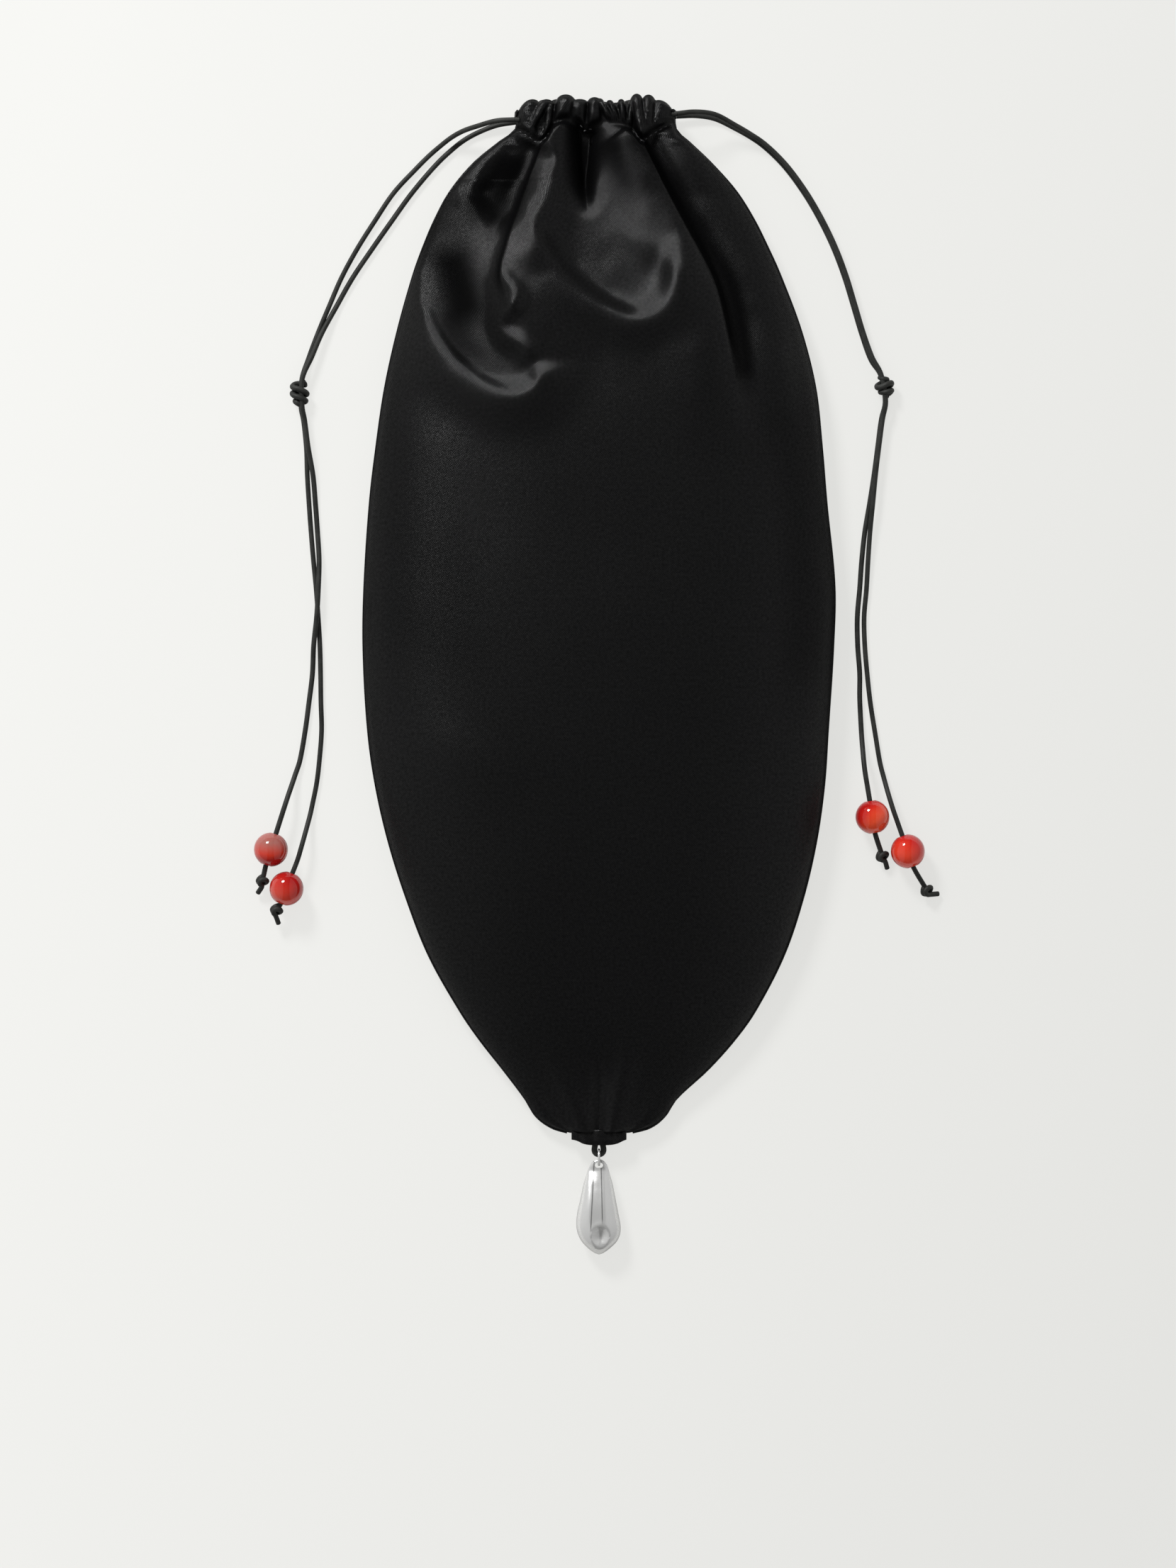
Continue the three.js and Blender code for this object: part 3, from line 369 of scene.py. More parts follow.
# %% Folds of the front panel
# form, points in the photograph, height, reach on the left and on the right of the line as it
# runs (one number, or a few spread along it), push, and how far each end takes to fade
FOLDS = [
    # left tongue, turned over on its outer side; it grows soft below its foot
    ("turned", [(784, 164), (772, 186), (758, 222), (743, 262), (729, 302), (716, 345),
                (707, 384), (712, 412), (738, 452), (778, 500), (826, 548)],
     4.6, (8, 12, 15, 15, 13), (1.5, 2.0, 2.4, 7, 12), -1.4, 2, 34),
    # at its foot the edge bends in and out again and runs on into the end of the sling
    ("ridge", [(705, 378), (713, 397), (726, 411), (729, 426), (714, 444), (703, 460),
               (711, 478), (734, 493), (757, 514)], 1.8, 2.5, (2.4, 3.0), 0, 4, 4),
    # right tongue, turned over on its outer side
    ("turned", [(890, 176), (904, 198), (922, 235), (945, 280), (967, 322), (988, 360),
                (1008, 402), (1020, 450), (1030, 510), (1034, 580), (1030, 660)],
     4.2, (1.6, 2.6, 3.4, 9), (9, 15, 16, 14), 1.4, 2, 46),
    # basin outside the left tongue
    ("basin", [(752, 196), (722, 246), (694, 284), (664, 302)], -3.0, (8, 9, 8), (8, 7, 5), 0, 4, 8),
    ("crease", [(764, 196), (746, 240), (728, 290), (712, 345)], -2.4, 3, (3, 5), 0, 4, 12),
    # valley between the tongues
    ("crease", [(824, 158), (825, 200), (825, 240), (826, 275), (832, 310)], -7.4,
     (3.4, 2.8, 1.8), (3.4, 2.6, 1.8), 0, 2, 14),
    # cloth tucked under the right tongue
    ("crease", [(908, 186), (938, 240), (972, 300), (1004, 360), (1028, 420), (1044, 490),
                (1050, 560), (1052, 630)], -3.6, (4, 6, 9), (1.8, 2.6, 5), 0, 4, 46),
    # sling between the tongues, and a smaller one above it
    ("ridge", [(737, 296), (756, 340), (785, 385), (820, 418), (858, 442), (893, 454),
               (922, 446), (946, 418), (956, 376), (952, 330)], 2.6, (4.0, 2.8, 3.8), 7.0, 0, 14, 12),
    ("ridge", [(832, 262), (850, 292), (875, 320), (905, 346), (935, 368)], 1.2, 3.0, 5.0, 0, 8, 10),
    # sling under the left basin
    ("ridge", [(596, 330), (588, 378), (594, 430), (617, 481), (649, 521), (686, 549),
               (716, 560), (744, 556), (761, 539), (762, 513)], 2.4, (3.2, 2.4, 2.6), 9.0, 0, 14, 5),
    # a small lift at the left edge, level with the basin
    ("ridge", [(632, 262), (648, 276), (668, 290)], 0.9, 2.0, 3.0, 0, 2, 5),
    # long soft swells of the body
    ("ridge", [(1075, 440), (1098, 520), (1104, 600), (1100, 700)], 1.2, 8, 7, 0, 20, 30),
    ("ridge", [(560, 1010), (640, 1056), (700, 1090), (770, 1120)], 0.6, 8, 10, 0, 20, 26),
    # gathers that run up from the base
    ("crease", [(844, 1618), (845, 1570), (843, 1510), (838, 1470)], -1.4, 1.8, 2.2, 0, 1, 16),
    ("ridge", [(858, 1618), (868, 1570), (884, 1500), (896, 1430)], 0.9, 3, 3.4, 0, 1, 24),
    ("ridge", [(832, 1618), (818, 1575), (792, 1520), (762, 1460)], 0.8, 3, 3.2, 0, 1, 24),
    ("crease", [(800, 1610), (772, 1575), (742, 1535)], -0.8, 2.4, 2.4, 0, 1, 14),
    ("crease", [(884, 1610), (912, 1572), (944, 1528)], -0.8, 2.4, 2.4, 0, 1, 14),
]
# How each form falls away from its line: a crease is a narrow V, a basin has a flat floor, and
# a turned fold has a flat back and a steep outer side
FALL = {"ridge": 2.0, "crease": 1.3, "basin": 4.0, "turned": 3.0}


def flat_spline(points):
    """A smooth line through points of the photograph, in millimetres."""
    return smooth_route([(*from_photo(*p), 0) for p in points])[:, :2]


def reach_at(reach, along_line):
    """The reach of a fold along its line, from one number or from a few spread evenly."""
    values = np.atleast_1d(reach)
    return np.interp(along_line, np.linspace(0, 1, max(2, len(values))),
                     np.resize(values, max(2, len(values))))


def nearest_on(line, x, y):
    """For each point: signed distance to the line, how far along, and the way across it."""
    best = np.full(x.shape, 1e9)
    signed, at = np.zeros(x.shape), np.zeros(x.shape)
    across_x, across_y = np.zeros(x.shape), np.zeros(x.shape)
    walked = 0.0
    for (ax, ay), (bx, by) in zip(line, line[1:]):
        dx, dy = bx - ax, by - ay
        size = math.hypot(dx, dy)
        f = np.clip(((x - ax) * dx + (y - ay) * dy) / size**2, 0, 1)
        off = np.hypot(x - ax - f * dx, y - ay - f * dy)
        turn = dx * (y - ay) - dy * (x - ax)
        near = off < best
        best = np.where(near, off, best)
        signed = np.where(near, np.sign(turn) * off, signed)
        at = np.where(near, walked + f * size, at)
        across_x = np.where(near, -dy / size, across_x)
        across_y = np.where(near, dx / size, across_y)
        walked += size
    return signed, at, walked, across_x, across_y


def fold_field(fold, x, y):
    """Height of one fold over the points, and how far it pushes them across its line."""
    form, points, height, left, right, push, fade_in, fade_out = fold
    signed, at, walked, across_x, across_y = nearest_on(flat_spline(points), x, y)
    fade = ease(-1, fade_in, at) * ease(-1, fade_out, walked - at)
    reach = np.where(signed > 0, reach_at(left, at / walked), reach_at(right, at / walked))
    share = np.abs(signed) / reach
    sharp = (signed > 0) if push > 0 else (signed < 0)
    lift = height * fade * np.exp(-(share ** np.where(sharp & (push != 0), 2.0, FALL[form])))
    # on the sharp side the cloth is drawn back under the fold
    pull = np.where(sharp, abs(push) * fade * 1.65 * share * np.exp(-(share**2)), 0)
    back = -np.sign(signed) * pull
    return lift, back * across_x, back * across_y


# Painted shade: strokes along deep folds, hollows and flanks where the satin's shine is taken down
# and its colour darkened: points, reach, share lost
SHADE_STROKES = [
    ([(738, 212), (708, 256), (676, 292), (646, 312)], 5.6, 0.9),
    ([(712, 270), (698, 330)], 3.2, 0.8),
    ([(628, 338), (646, 396), (662, 446), (692, 480)], 8.0, 0.97),
    ([(626, 436), (646, 486), (686, 520)], 4.6, 0.75),
    ([(874, 180), (880, 240), (900, 300)], 7.0, 0.75),
    ([(825, 158), (826, 230), (828, 286)], 2.3, 0.8),
    ([(618, 600), (612, 720), (610, 860), (622, 960)], 15.0, 0.4),
    ([(1118, 560), (1140, 700), (1146, 860), (1138, 980)], 9.0, 0.35),
    ([(912, 200), (954, 268), (994, 334), (1030, 404), (1045, 474), (1050, 545)], 3.2, 0.8),
]


def painted_shade_share(x, y):
    """How much of its shine the cloth loses to painted shade at each point, from 0 to 1."""
    kept = np.ones(x.shape)
    for points, reach, share in SHADE_STROKES:
        signed, at, walked, _, _ = nearest_on(flat_spline(points), x, y)
        ends = ease(-reach, reach, at) * ease(-reach, 1.5 * reach, walked - at)
        kept *= 1 - share * ends * np.exp(-((np.abs(signed) / reach) ** 3.2))
    return 1 - kept


# Ruffles of the front casing: place across, half width, height, lean and rise of the top edge
RUFFLES = [
    (-21.6, 2.9, 2.3, 0.06, 1.0), (-18.0, 1.5, 2.2, 0.62, 0.2), (-14.6, 0.9, 1.1, 0.1, -0.2),
    (-10.4, 2.2, 2.9, 0.16, 1.5), (-6.1, 1.8, 1.9, 0.12, 0.2), (-1.3, 1.6, 2.4, 0.0, 0.7),
    (2.4, 1.0, 1.9, -0.55, 0.4), (4.6, 0.8, 1.6, -0.36, -0.1), (6.9, 0.8, 1.7, -0.10, 0.2),
    (9.2, 0.7, 1.5, 0.10, 0.2), (11.7, 1.5, 3.0, -0.16, 1.7), (14.4, 1.6, 2.4, 0.05, 1.6),
    (19.2, 3.2, 1.9, 0.15, 0.8),
]
# The stitched line under the casing: place across, place along
STITCH_LINE = np.array([
    (-27, 160.9), (-24, 160.4), (-20.5, 158.4), (-17.6, 156.7), (-15.2, 158.6), (-13.2, 162.0),
    (-9.5, 163.2), (-6.0, 162.4), (-4.0, 160.2), (-2.0, 161.0), (1.5, 162.2), (6.0, 162.0),
    (9.5, 160.4), (12.6, 157.2), (14.6, 158.5), (17.6, 160.4), (21.0, 162.2), (25, 163.0)])


def ruffle_height(x, y, foot):
    """The tallest of the ruffles at each point. They swell halfway up and meet in creases."""
    best = np.zeros(x.shape)
    up = np.clip((y - foot) / (NECK_Y + 0.5 - foot), 0, 1)
    swell = 0.62 + 0.38 * np.sin(math.pi * up)
    for place, half, height, lean, _ in RUFFLES:
        centre = place + lean * (y - 165)
        share = np.abs(x - centre) / (half * 1.22)
        best = np.maximum(best, height * swell * np.sqrt(np.clip(1 - share**2.2, 0, 1)))
    return best


def ruffle_top(x):
    """How far the top edge stands above its mean, from the rise of each ruffle."""
    best = np.full(x.shape, -0.9)
    for place, half, _, lean, rise in RUFFLES:
        share = np.abs(x - place - lean * 4) / (half * 1.35)
        best = np.maximum(best, -0.9 + (rise + 0.9) * np.sqrt(np.clip(1 - share**2, 0, 1)))
    return best


print(len(FOLDS), "folds,", len(RUFFLES), "ruffles")

# %% [markdown]
# Fine irregular waves keep the cloth from looking turned on a lathe. They are sums of a few
# fixed sines, so each run makes the same cloth.


# %% Waves in the cloth
def soft_waves(x, y, size, seed):
    """A smooth uneven field from -1 to 1, its waves about size millimetres long."""
    random = np.random.default_rng(seed)
    total = np.zeros(np.shape(x))
    for _ in range(7):
        angle, phase = random.uniform(0, 2 * math.pi, 2)
        pitch = size * random.uniform(0.7, 1.6)
        total += np.sin(2 * math.pi * (x * math.cos(angle) + y * math.sin(angle)) / pitch + phase)
    return total / 7


def front_shape(across, along):
    """The outer face of the front panel: arrays of x, y, z in millimetres."""
    neck = ease(*NECK, along)
    x, y = in_outline(across, along)
    seam = read_table(SEAMS, along) + 0.1
    rise = read_table(DEPTHS, along) - seam
    dome = np.clip(1 - np.abs(across) ** (2.5 + 4 * neck), 0, 1) ** (0.6 - 0.25 * neck)
    soft = np.minimum(1, 2 * dome)
    z = seam + rise * dome
    push_x, push_y = np.zeros(x.shape), np.zeros(x.shape)
    # the folds run up to the stitched line and stop there
    line_y = read_table(STITCH_LINE, np.clip(x, -27, 25))
    below = ease(0.2, -2.2, y - line_y)
    for fold in FOLDS:
        lift, move_x, move_y = fold_field(fold, x, y)
        z += lift * soft * below
        push_x += move_x * soft * below
        push_y += move_y * soft * below
    z += 0.16 * soft * soft_waves(x, y, 34, 3) * (1 - neck)
    z += 0.10 * soft * soft_waves(x, y, 9, 5) * ease(0.6, 0.85, along) * (1 - neck)
    # the casing's ruffles, its crumpled cloth, and the crease that the stitches pull in, which
    # is shallow where a tongue runs up into the casing
    above = ease(-0.6, 2.2, y - line_y) * soft * ease(0.9, 0.93, along)
    z += (ruffle_height(x, y, line_y) - 0.6 + 0.3 * soft_waves(x, y, 3.4, 21)) * above
    tongue = np.exp(-(((x + 9.6) / 4.0) ** 4)) + np.exp(-(((x - 4.2) / 5.4) ** 4))
    crease = np.exp(-(((y - line_y) / 1.1) ** 2)) * ease(0.9, 0.93, along)
    z -= (1.7 - 1.3 * tongue) * soft * crease
    z = np.maximum(z, seam + np.minimum(rise * dome, WALL * 1.6 * soft))
    lip = ease(NECK_Y - LIP, NECK_Y, y)
    z -= 1.5 * ease(NECK_Y - 1.5, NECK_Y, y) ** 2 * soft
    rise_y = lip * (ruffle_top(x) - 5.0 * np.abs(across) ** 9)
    return x + push_x, y + push_y + rise_y, z


def casing_lining(across, along, seam, level, toward):
    """How far the inner face of a casing is drawn in from its side, and its height."""
    lip = ease(NECK_Y - LIP, NECK_Y, BASE_Y + along * LENGTH)
    middle = level + toward * (0.25 + 1.2 * lip)
    inset = np.sign(across) * np.abs(across) ** 6 * WALL
    return inset, seam + (middle - seam) * np.minimum(1, 2.2 * (1 - np.abs(across) ** 6))


def front_inside(across, along):
    """The inner face of the front casing, where the cloth is turned down inside."""
    x, y, z = front_shape(across, along)
    seam = read_table(SEAMS, along) + 0.1
    inset, inner = casing_lining(across, along, seam, NECK_DEPTH - CASING_DEPTH, 1)
    return x - inset, y, np.minimum(inner, z - 0.7)


def back_shape(across, along):
    """The outer face of the back panel, flat where it rests on the table."""
    neck = ease(*NECK, along)
    x, y = in_outline(across, along)
    seam = read_table(SEAMS, along) - 0.1
    flat = 0.74 + 0.12 * neck
    climb = np.clip((np.abs(across) - flat) / (1 - flat), 0, 1)
    lip = ease(NECK_Y - LIP, NECK_Y, y)
    top = 1 - climb
    waves = 0.5 + 0.5 * soft_waves(x, y, 26, 11)
    z = seam * climb**2 + 0.75 * waves * top * (1 - neck)
    # the casing's ruffles are those of the front, mirrored and lower
    ruffles = ruffle_height(-x * 0.93 - 0.5, y, 160.5) / 2.5
    z += 1.5 * (1 - ruffles) * ease(0.915, 0.965, along) * top + 0.5 * lip * lip * top
    # gathers fan out below the casing and above the base
    fan = ease(0.70, 0.93, along) * (1 - neck)
    z += 1.5 * fan * top * (0.5 + 0.5 * np.cos(across * 15 + 0.8)) ** 2
    foot = ease(0.14, 0.02, along)
    z += 0.8 * foot * top * (0.5 + 0.5 * np.cos(across * 11)) ** 2
    rise_y = lip * (ruffle_top(-x * 0.93 - 0.5) * 0.7 - 5.0 * np.abs(across) ** 9)
    return x, y + rise_y, np.maximum(z, 0.02)


def back_inside(across, along):
    """The inner face of the back casing."""
    x, y, z = back_shape(across, along)
    seam = read_table(SEAMS, along) - 0.1
    inset, inner = casing_lining(across, along, seam, CASING_DEPTH, -1)
    return x - inset, y, np.clip(inner, z + 0.7, seam)


print("front height", round(float(front_shape(np.array(0.0), np.array(0.5))[2]), 1), "mm")

# %% [markdown]
# A panel starts as a grid primitive in two numbers: how far across, and how far along. Rows are
# closest where the cloth is gathered. After the last row of the outer face the cloth turns over
# the mouth and runs down inside, as a sewn casing does. Its UV map is the cloth laid flat, in
# metres, so the weave keeps its size in every fold. Solidify then gives it its thickness.

# %% The two panels
FRONT_ROWS = np.concatenate([
    np.linspace(0, 0.02, 10)[:-1], np.linspace(0.02, 0.60, 82)[:-1],
    np.linspace(0.60, 0.90, 92)[:-1], np.linspace(0.90, 1, 52)])
BACK_ROWS = np.concatenate([
    np.linspace(0, 0.02, 8)[:-1], np.linspace(0.02, 0.66, 58)[:-1],
    np.linspace(0.66, 0.9, 40)[:-1], np.linspace(0.9, 1, 36)])
INNER_ROWS = np.linspace(1, 0.957, 15)[1:]
CLOTH = 0.45  # thickness of the satin, in millimetres


def panel(name, node, columns, rows, outside, inside, facing=1):
    """One sheet. The outer face looks up with facing 1 and down with facing -1."""
    start_fresh()
    total = len(rows) + len(INNER_ROWS)
    bpy.ops.mesh.primitive_grid_add(x_subdivisions=columns, y_subdivisions=total - 1, size=2)
    piece = bpy.context.object
    mesh = piece.data
    flat = np.zeros(len(mesh.vertices) * 3)
    mesh.vertices.foreach_get("co", flat)
    flat = flat.reshape(-1, 3)
    row = np.round((flat[:, 1] + 1) / 2 * (total - 1)).astype(int)
    column = np.round((flat[:, 0] + 1) / 2 * columns).astype(int)
    across = flat[:, 0]
    outer = row < len(rows)
    along = np.concatenate([rows, INNER_ROWS])[row]
    shaped = np.array(outside(across, along)).T
    turned = np.array(inside(across, along)).T
    grid = np.zeros((total, columns + 1, 3))
    grid[row, column] = np.where(outer[:, None], shaped, turned)
    # below the casing the cloth is relaxed a little, which rounds the creases between folds
    relaxed = int(np.searchsorted(rows, 0.925))
    for _ in range(3):
        inner = grid[:relaxed]
        mean = (inner[2:, 1:-1] + inner[:-2, 1:-1] + inner[1:-1, 2:] + inner[1:-1, :-2]) / 4
        inner[1:-1, 1:-1] = (inner[1:-1, 1:-1] + mean) / 2
    mesh.vertices.foreach_set("co", (grid[row, column] * MM).ravel())
    # the cloth laid flat: distance across each row from its middle, and along each column
    steps = np.linalg.norm(np.diff(grid, axis=1), axis=2)
    u = np.concatenate([np.zeros((total, 1)), np.cumsum(steps, axis=1)], axis=1)
    u -= u[:, columns // 2][:, None]
    v = np.concatenate([[0], np.cumsum(np.linalg.norm(np.diff(grid, axis=0), axis=2).mean(1))])
    corner = np.zeros(len(mesh.loops), int)
    mesh.loops.foreach_get("vertex_index", corner)
    flat_cloth = np.stack([u[row[corner], column[corner]], v[row[corner]]], axis=1) * MM
    mesh.uv_layers.active.data.foreach_set("uv", flat_cloth.ravel())
    print(name, "flat width", round(float((u[:, -1] - u[:, 0]).max())),
          "flat length", round(float(v[-1])))
    # painted shade is on the front's body only; the casing keeps its shine
    shade_layer = mesh.attributes.new("painted_shade", "FLOAT", "POINT")
    shade_amount = painted_shade_share(grid[row, column, 0], grid[row, column, 1]) * (facing > 0)
    shade_layer.data.foreach_set("value", shade_amount * ease(0.972, 0.955, along))
    if facing < 0:
        bpy.ops.object.mode_set(mode="EDIT")
        bpy.ops.mesh.select_all(action="SELECT")
        bpy.ops.mesh.flip_normals()
        bpy.ops.object.mode_set(mode="OBJECT")
    wall = piece.modifiers.new("cloth thickness", "SOLIDIFY")
    wall.thickness = CLOTH * MM
    wall.offset = -1
    bpy.ops.object.modifier_apply(modifier=wall.name)
    bpy.ops.object.shade_smooth()
    settle(piece, name)
    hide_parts(node)
    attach(piece, "pouch")
    return piece


front = panel("front_satin", "front_panel", 168, FRONT_ROWS, front_shape, front_inside)
back = panel("back_satin", "back_panel", 110, BACK_ROWS, back_shape, back_inside, -1)

# %% [markdown]
# Both panels meet in a turned seam down each side. From the front it is the very edge of the
# bag, and from the side it is the line that halves it, so a thin roll of cloth runs along it.

# %% Side seams
satin_pieces = [front, back]
for side, word in ((-1, "left"), (1, "right")):
    along = np.concatenate([np.linspace(0.001, 0.02, 12)[:-1], np.linspace(0.02, 0.985, 156)])
    route = np.stack([edge_x(side, along) - side * 0.45, BASE_Y + along * LENGTH,
                      read_table(SEAMS, along)], axis=1)
    roll = lace_curve(f"{word}_side_seam", route, diameter=1.1, sides=2)
    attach(roll, "pouch")
    satin_pieces.append(roll)
print("seams", len(satin_pieces) - 2)

# %% [markdown]
# The casing is closed by a line of short stitches that shows as small light dots. One stitch is
# a small flattened ball, and its copies follow the line over the ruffles.


# %% Stitches under the casings
STITCH_GAP, STITCH_RADIUS = 1.7, 0.5


def stitch_line(name, shape, sign):
    """Stitches over one panel, the front with sign 1 and the back, mirrored, with -1."""
    places = []
    line = np.array([(x, float(read_table(STITCH_LINE, np.array(float(x))))) for x in
                     np.linspace(-23.6, 21.8, 900)])
    run = np.concatenate([[0], np.cumsum(np.hypot(*np.diff(line, axis=0).T))])
    for at in np.arange(0.8, run[-1], STITCH_GAP):
        x = np.interp(at, run, line[:, 0])
        if -14.5 < x < -5.5 or -1.5 < x < 9.5:  # hidden where the tongues hang over the line
            continue
        places.append([x, np.interp(at, run, line[:, 1]) - 0.25])
    places = np.array(places)
    along = (places[:, 1] - BASE_Y) / LENGTH
    left, right = edge_x(-1, along), edge_x(1, along)
    across = np.clip((places[:, 0] * sign - (left + right) / 2) * 2 / (right - left), -0.96, 0.96)
    x, y, z = shape(across, along)
    start_fresh()
    bpy.ops.mesh.primitive_uv_sphere_add(segments=8, ring_count=6, radius=STITCH_RADIUS * MM)
    first = bpy.context.object
    first.scale = (1.0, 0.34, 0.3)
    copies = [first]
    for i in range(len(places)):
        one = first if i == 0 else first.copy()
        if i:
            one.data = first.data.copy()
            bpy.context.scene.collection.objects.link(one)
            copies.append(one)
        j = min(i + 1, len(places) - 1)
        turn = math.atan2(y[j] - y[j - 1], x[j] - x[j - 1])
        one.location = (x[i] * MM, y[i] * MM, (z[i] + 0.1 * sign) * MM)
        one.rotation_euler = (0, 0, turn)
    select_only(first)
    for one in copies:
        one.select_set(True)
    bpy.ops.object.join()
    piece = settle(first, name)
    bpy.ops.object.shade_smooth()
    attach(piece, "pouch")
    print(name, len(copies))
    return piece


thread_pieces = [stitch_line("front_casing_stitches", front_shape, 1),
                 stitch_line("back_casing_stitches", back_shape, -1)]

# %% [markdown]
# The gathered base is bound by a folded strip. It starts as a cube of the strip's size, cut
# into small faces, whose points are drawn into two soft folds, and subdivision rounds it.

# %% Base tab
low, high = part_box("base_tab")
size = high - low
start_fresh()
bpy.ops.mesh.primitive_cube_add(size=1, location=(low + high) / 2, scale=size)
tab = settle(bpy.context.object, "base_binding")
bpy.ops.object.mode_set(mode="EDIT")
bpy.ops.mesh.select_all(action="SELECT")
bpy.ops.mesh.subdivide(number_cuts=11)
bpy.ops.object.mode_set(mode="OBJECT")
middle = (low + high) / 2
for point in tab.data.vertices:
    # each from -1 to 1 over the strip
    across = (point.co.x - middle.x) / (size.x / 2)
    up = (point.co.z - middle.z) / (size.z / 2)
    down = (middle.y - point.co.y) / (size.y / 2)
    thin = (1 - 0.34 * abs(across) ** 3) * (1 - 0.14 * max(0, down) ** 2)
    fold = 0.28 * MM * math.cos(across * 13) * abs(up)
    point.co.z = middle.z + (point.co.z - middle.z) * thin + fold * (1 if up > 0 else -1)
    point.co.y += 0.5 * MM * abs(across) ** 3 * max(0, down) - 0.25 * MM * max(0, -down) * up**2
    point.co.x = middle.x + (point.co.x - middle.x) * (1 - 0.08 * max(0, down))
    # the lower corners are rounded, the left one more and further in
    corner = 0.30 * abs(across) ** 3 if across < 0 else 0.26 * abs(across) ** 4
    point.co.y += corner * size.y * max(0, down)
    inward = (1.2 if across < 0 else 0.3) * MM * max(0, down) ** 1.5
    point.co.x -= inward * across * abs(across) ** 3
    point.co.y += 1.6 * MM * max(0, -down) ** 2  # tucked up between the panels
    point.co.z = max(point.co.z, 0.3 * MM)
round_off = tab.modifiers.new("soft edges", "SUBSURF")
round_off.levels = round_off.render_levels = 2
bpy.ops.object.modifier_apply(modifier=round_off.name)
bpy.ops.object.shade_smooth()
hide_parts("base_tab")
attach(tab, "pouch")
satin_pieces.append(tab)
print("tab", [round(v * 1000, 1) for v in size])

# %% [markdown]
# Under the tab hangs a short leather loop, and through it a plain ring of silver wire. The
# loop is a bend of lace. The ring is a torus whose wire swells a little where it is closed.

# %% Hanging loop and ring
STRAP = 1.6  # the loop's thickness in the solid model
low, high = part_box("hanging_loop")
leg = (high.x - low.x) / 2 / MM - STRAP / 2
bend_y = low.y / MM + STRAP / 2 + leg
hang_z = (low.z + high.z) / 2 / MM
turns = np.linspace(math.pi * 0.95, math.pi * 2.05, 15)
bend = [(leg * math.cos(t), bend_y + leg * math.sin(t), hang_z) for t in turns]
legs_top = high.y / MM + 0.9
route = [(-leg + 0.3, legs_top, hang_z), *bend, (leg - 0.3, legs_top, hang_z)]
loop = lace_curve("leather_loop", smooth_route(route, 0.3), diameter=1.75, sides=4)
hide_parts("hanging_loop")
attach(loop, "pouch")
leather_pieces.append(loop)

low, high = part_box("hanging_ring")
wire = (high.x - low.x) / 2
start_fresh()
bpy.ops.mesh.primitive_torus_add(
    location=(low + high) / 2, rotation=(0, math.pi / 2, 0), major_segments=72,
    minor_segments=18, major_radius=(high.y - low.y) / 2 - wire, minor_radius=wire)
ring = settle(bpy.context.object, "silver_ring")
ring_middle = (low + high) / 2
for point in ring.data.vertices:
    turn = math.atan2(point.co.z - ring_middle.z, point.co.y - ring_middle.y)
    swell = 1 + 0.12 * math.exp(-((turn - 2.4) / 0.16) ** 2)
    point.co.x = ring_middle.x + (point.co.x - ring_middle.x) * swell
bpy.ops.object.shade_smooth()
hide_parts("hanging_ring")
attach(ring, "ring")
print("ring across", round((high.y - low.y) * 1000, 2))

# %% [markdown]
# The drop is cast silver, a long pear with a thumb mark pressed into it low on its right. A
# circle is extruded station by station and resized to the outline, which gives an even skin to
# press the mark into. A Boolean then opens the eye for the ring.

# %% Silver drop
# share of the length from the top, then the half widths on the left and on the right and the
# half depth, each as a share of its largest
DROP = np.array([
    (0, .06, .06, .05), (.015, .22, .2, .11), (.05, .37, .34, .135), (.115, .5, .44, .15),
    (.17, .57, .5, .34), (.25, .68, .6, .56), (.42, .84, .75, .8), (.58, .99, .88, .95),
    (.7, 1.02, .97, 1), (.79, .94, .945, .94), (.87, .76, .78, .78), (.94, .47, .47, .5),
    (.985, .2, .2, .2), (1, .03, .03, .04)])
DROP_LENGTH, DROP_WIDTH, DROP_DEPTH = 27.9, 13.1, 8.4
low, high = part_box("silver_drop")
drop_top = high.y / MM
stations = np.concatenate([[0, .004, .009, .016, .026], np.linspace(.04, .94, 46),
                           [.955, .968, .979, .988, .994, .998, 1]])


def station_of(share):
    """Left and right edge, half depth and height of the middle at one station."""
    share = np.array(float(share))
    left = DROP_WIDTH / 2 * float(read_table(DROP, share, 1))
    right = DROP_WIDTH / 2 * float(read_table(DROP, share, 2))
    half = DROP_DEPTH / 2 * float(read_table(DROP, share, 3))
    middle = hang_z + (DROP_DEPTH / 2 - hang_z) * float(ease(0.1, 0.55, share))
    return left, right, half, middle


start_fresh()
left, right, half, middle = station_of(0)
bpy.ops.mesh.primitive_circle_add(
    vertices=56, radius=MM, fill_type="NGON", rotation=(math.pi / 2, 0, 0),
    location=((right - left) / 2 * MM, drop_top * MM, middle * MM))
drop = bpy.context.object
bpy.ops.object.transform_apply(location=True, rotation=True, scale=True)
bpy.ops.object.mode_set(mode="EDIT")
bpy.ops.mesh.select_all(action="SELECT")
bpy.ops.transform.resize(value=((left + right) / 2, 1, half))
width, depth = (left + right) / 2, half
for before, share in zip(stations, stations[1:]):
    old_left, old_right, _, old_middle = station_of(before)
    left, right, half, middle = station_of(share)
    step = ((right - left - old_right + old_left) / 2 * MM,
            -(share - before) * DROP_LENGTH * MM, (middle - old_middle) * MM)
    bpy.ops.mesh.extrude_region_move(TRANSFORM_OT_translate={"value": step})
    bpy.ops.transform.resize(value=((left + right) / 2 / width, 1, half / depth))
    width, depth = (left + right) / 2, half
bpy.ops.mesh.select_all(action="SELECT")
bpy.ops.mesh.normals_make_consistent(inside=False)
bpy.ops.object.mode_set(mode="OBJECT")

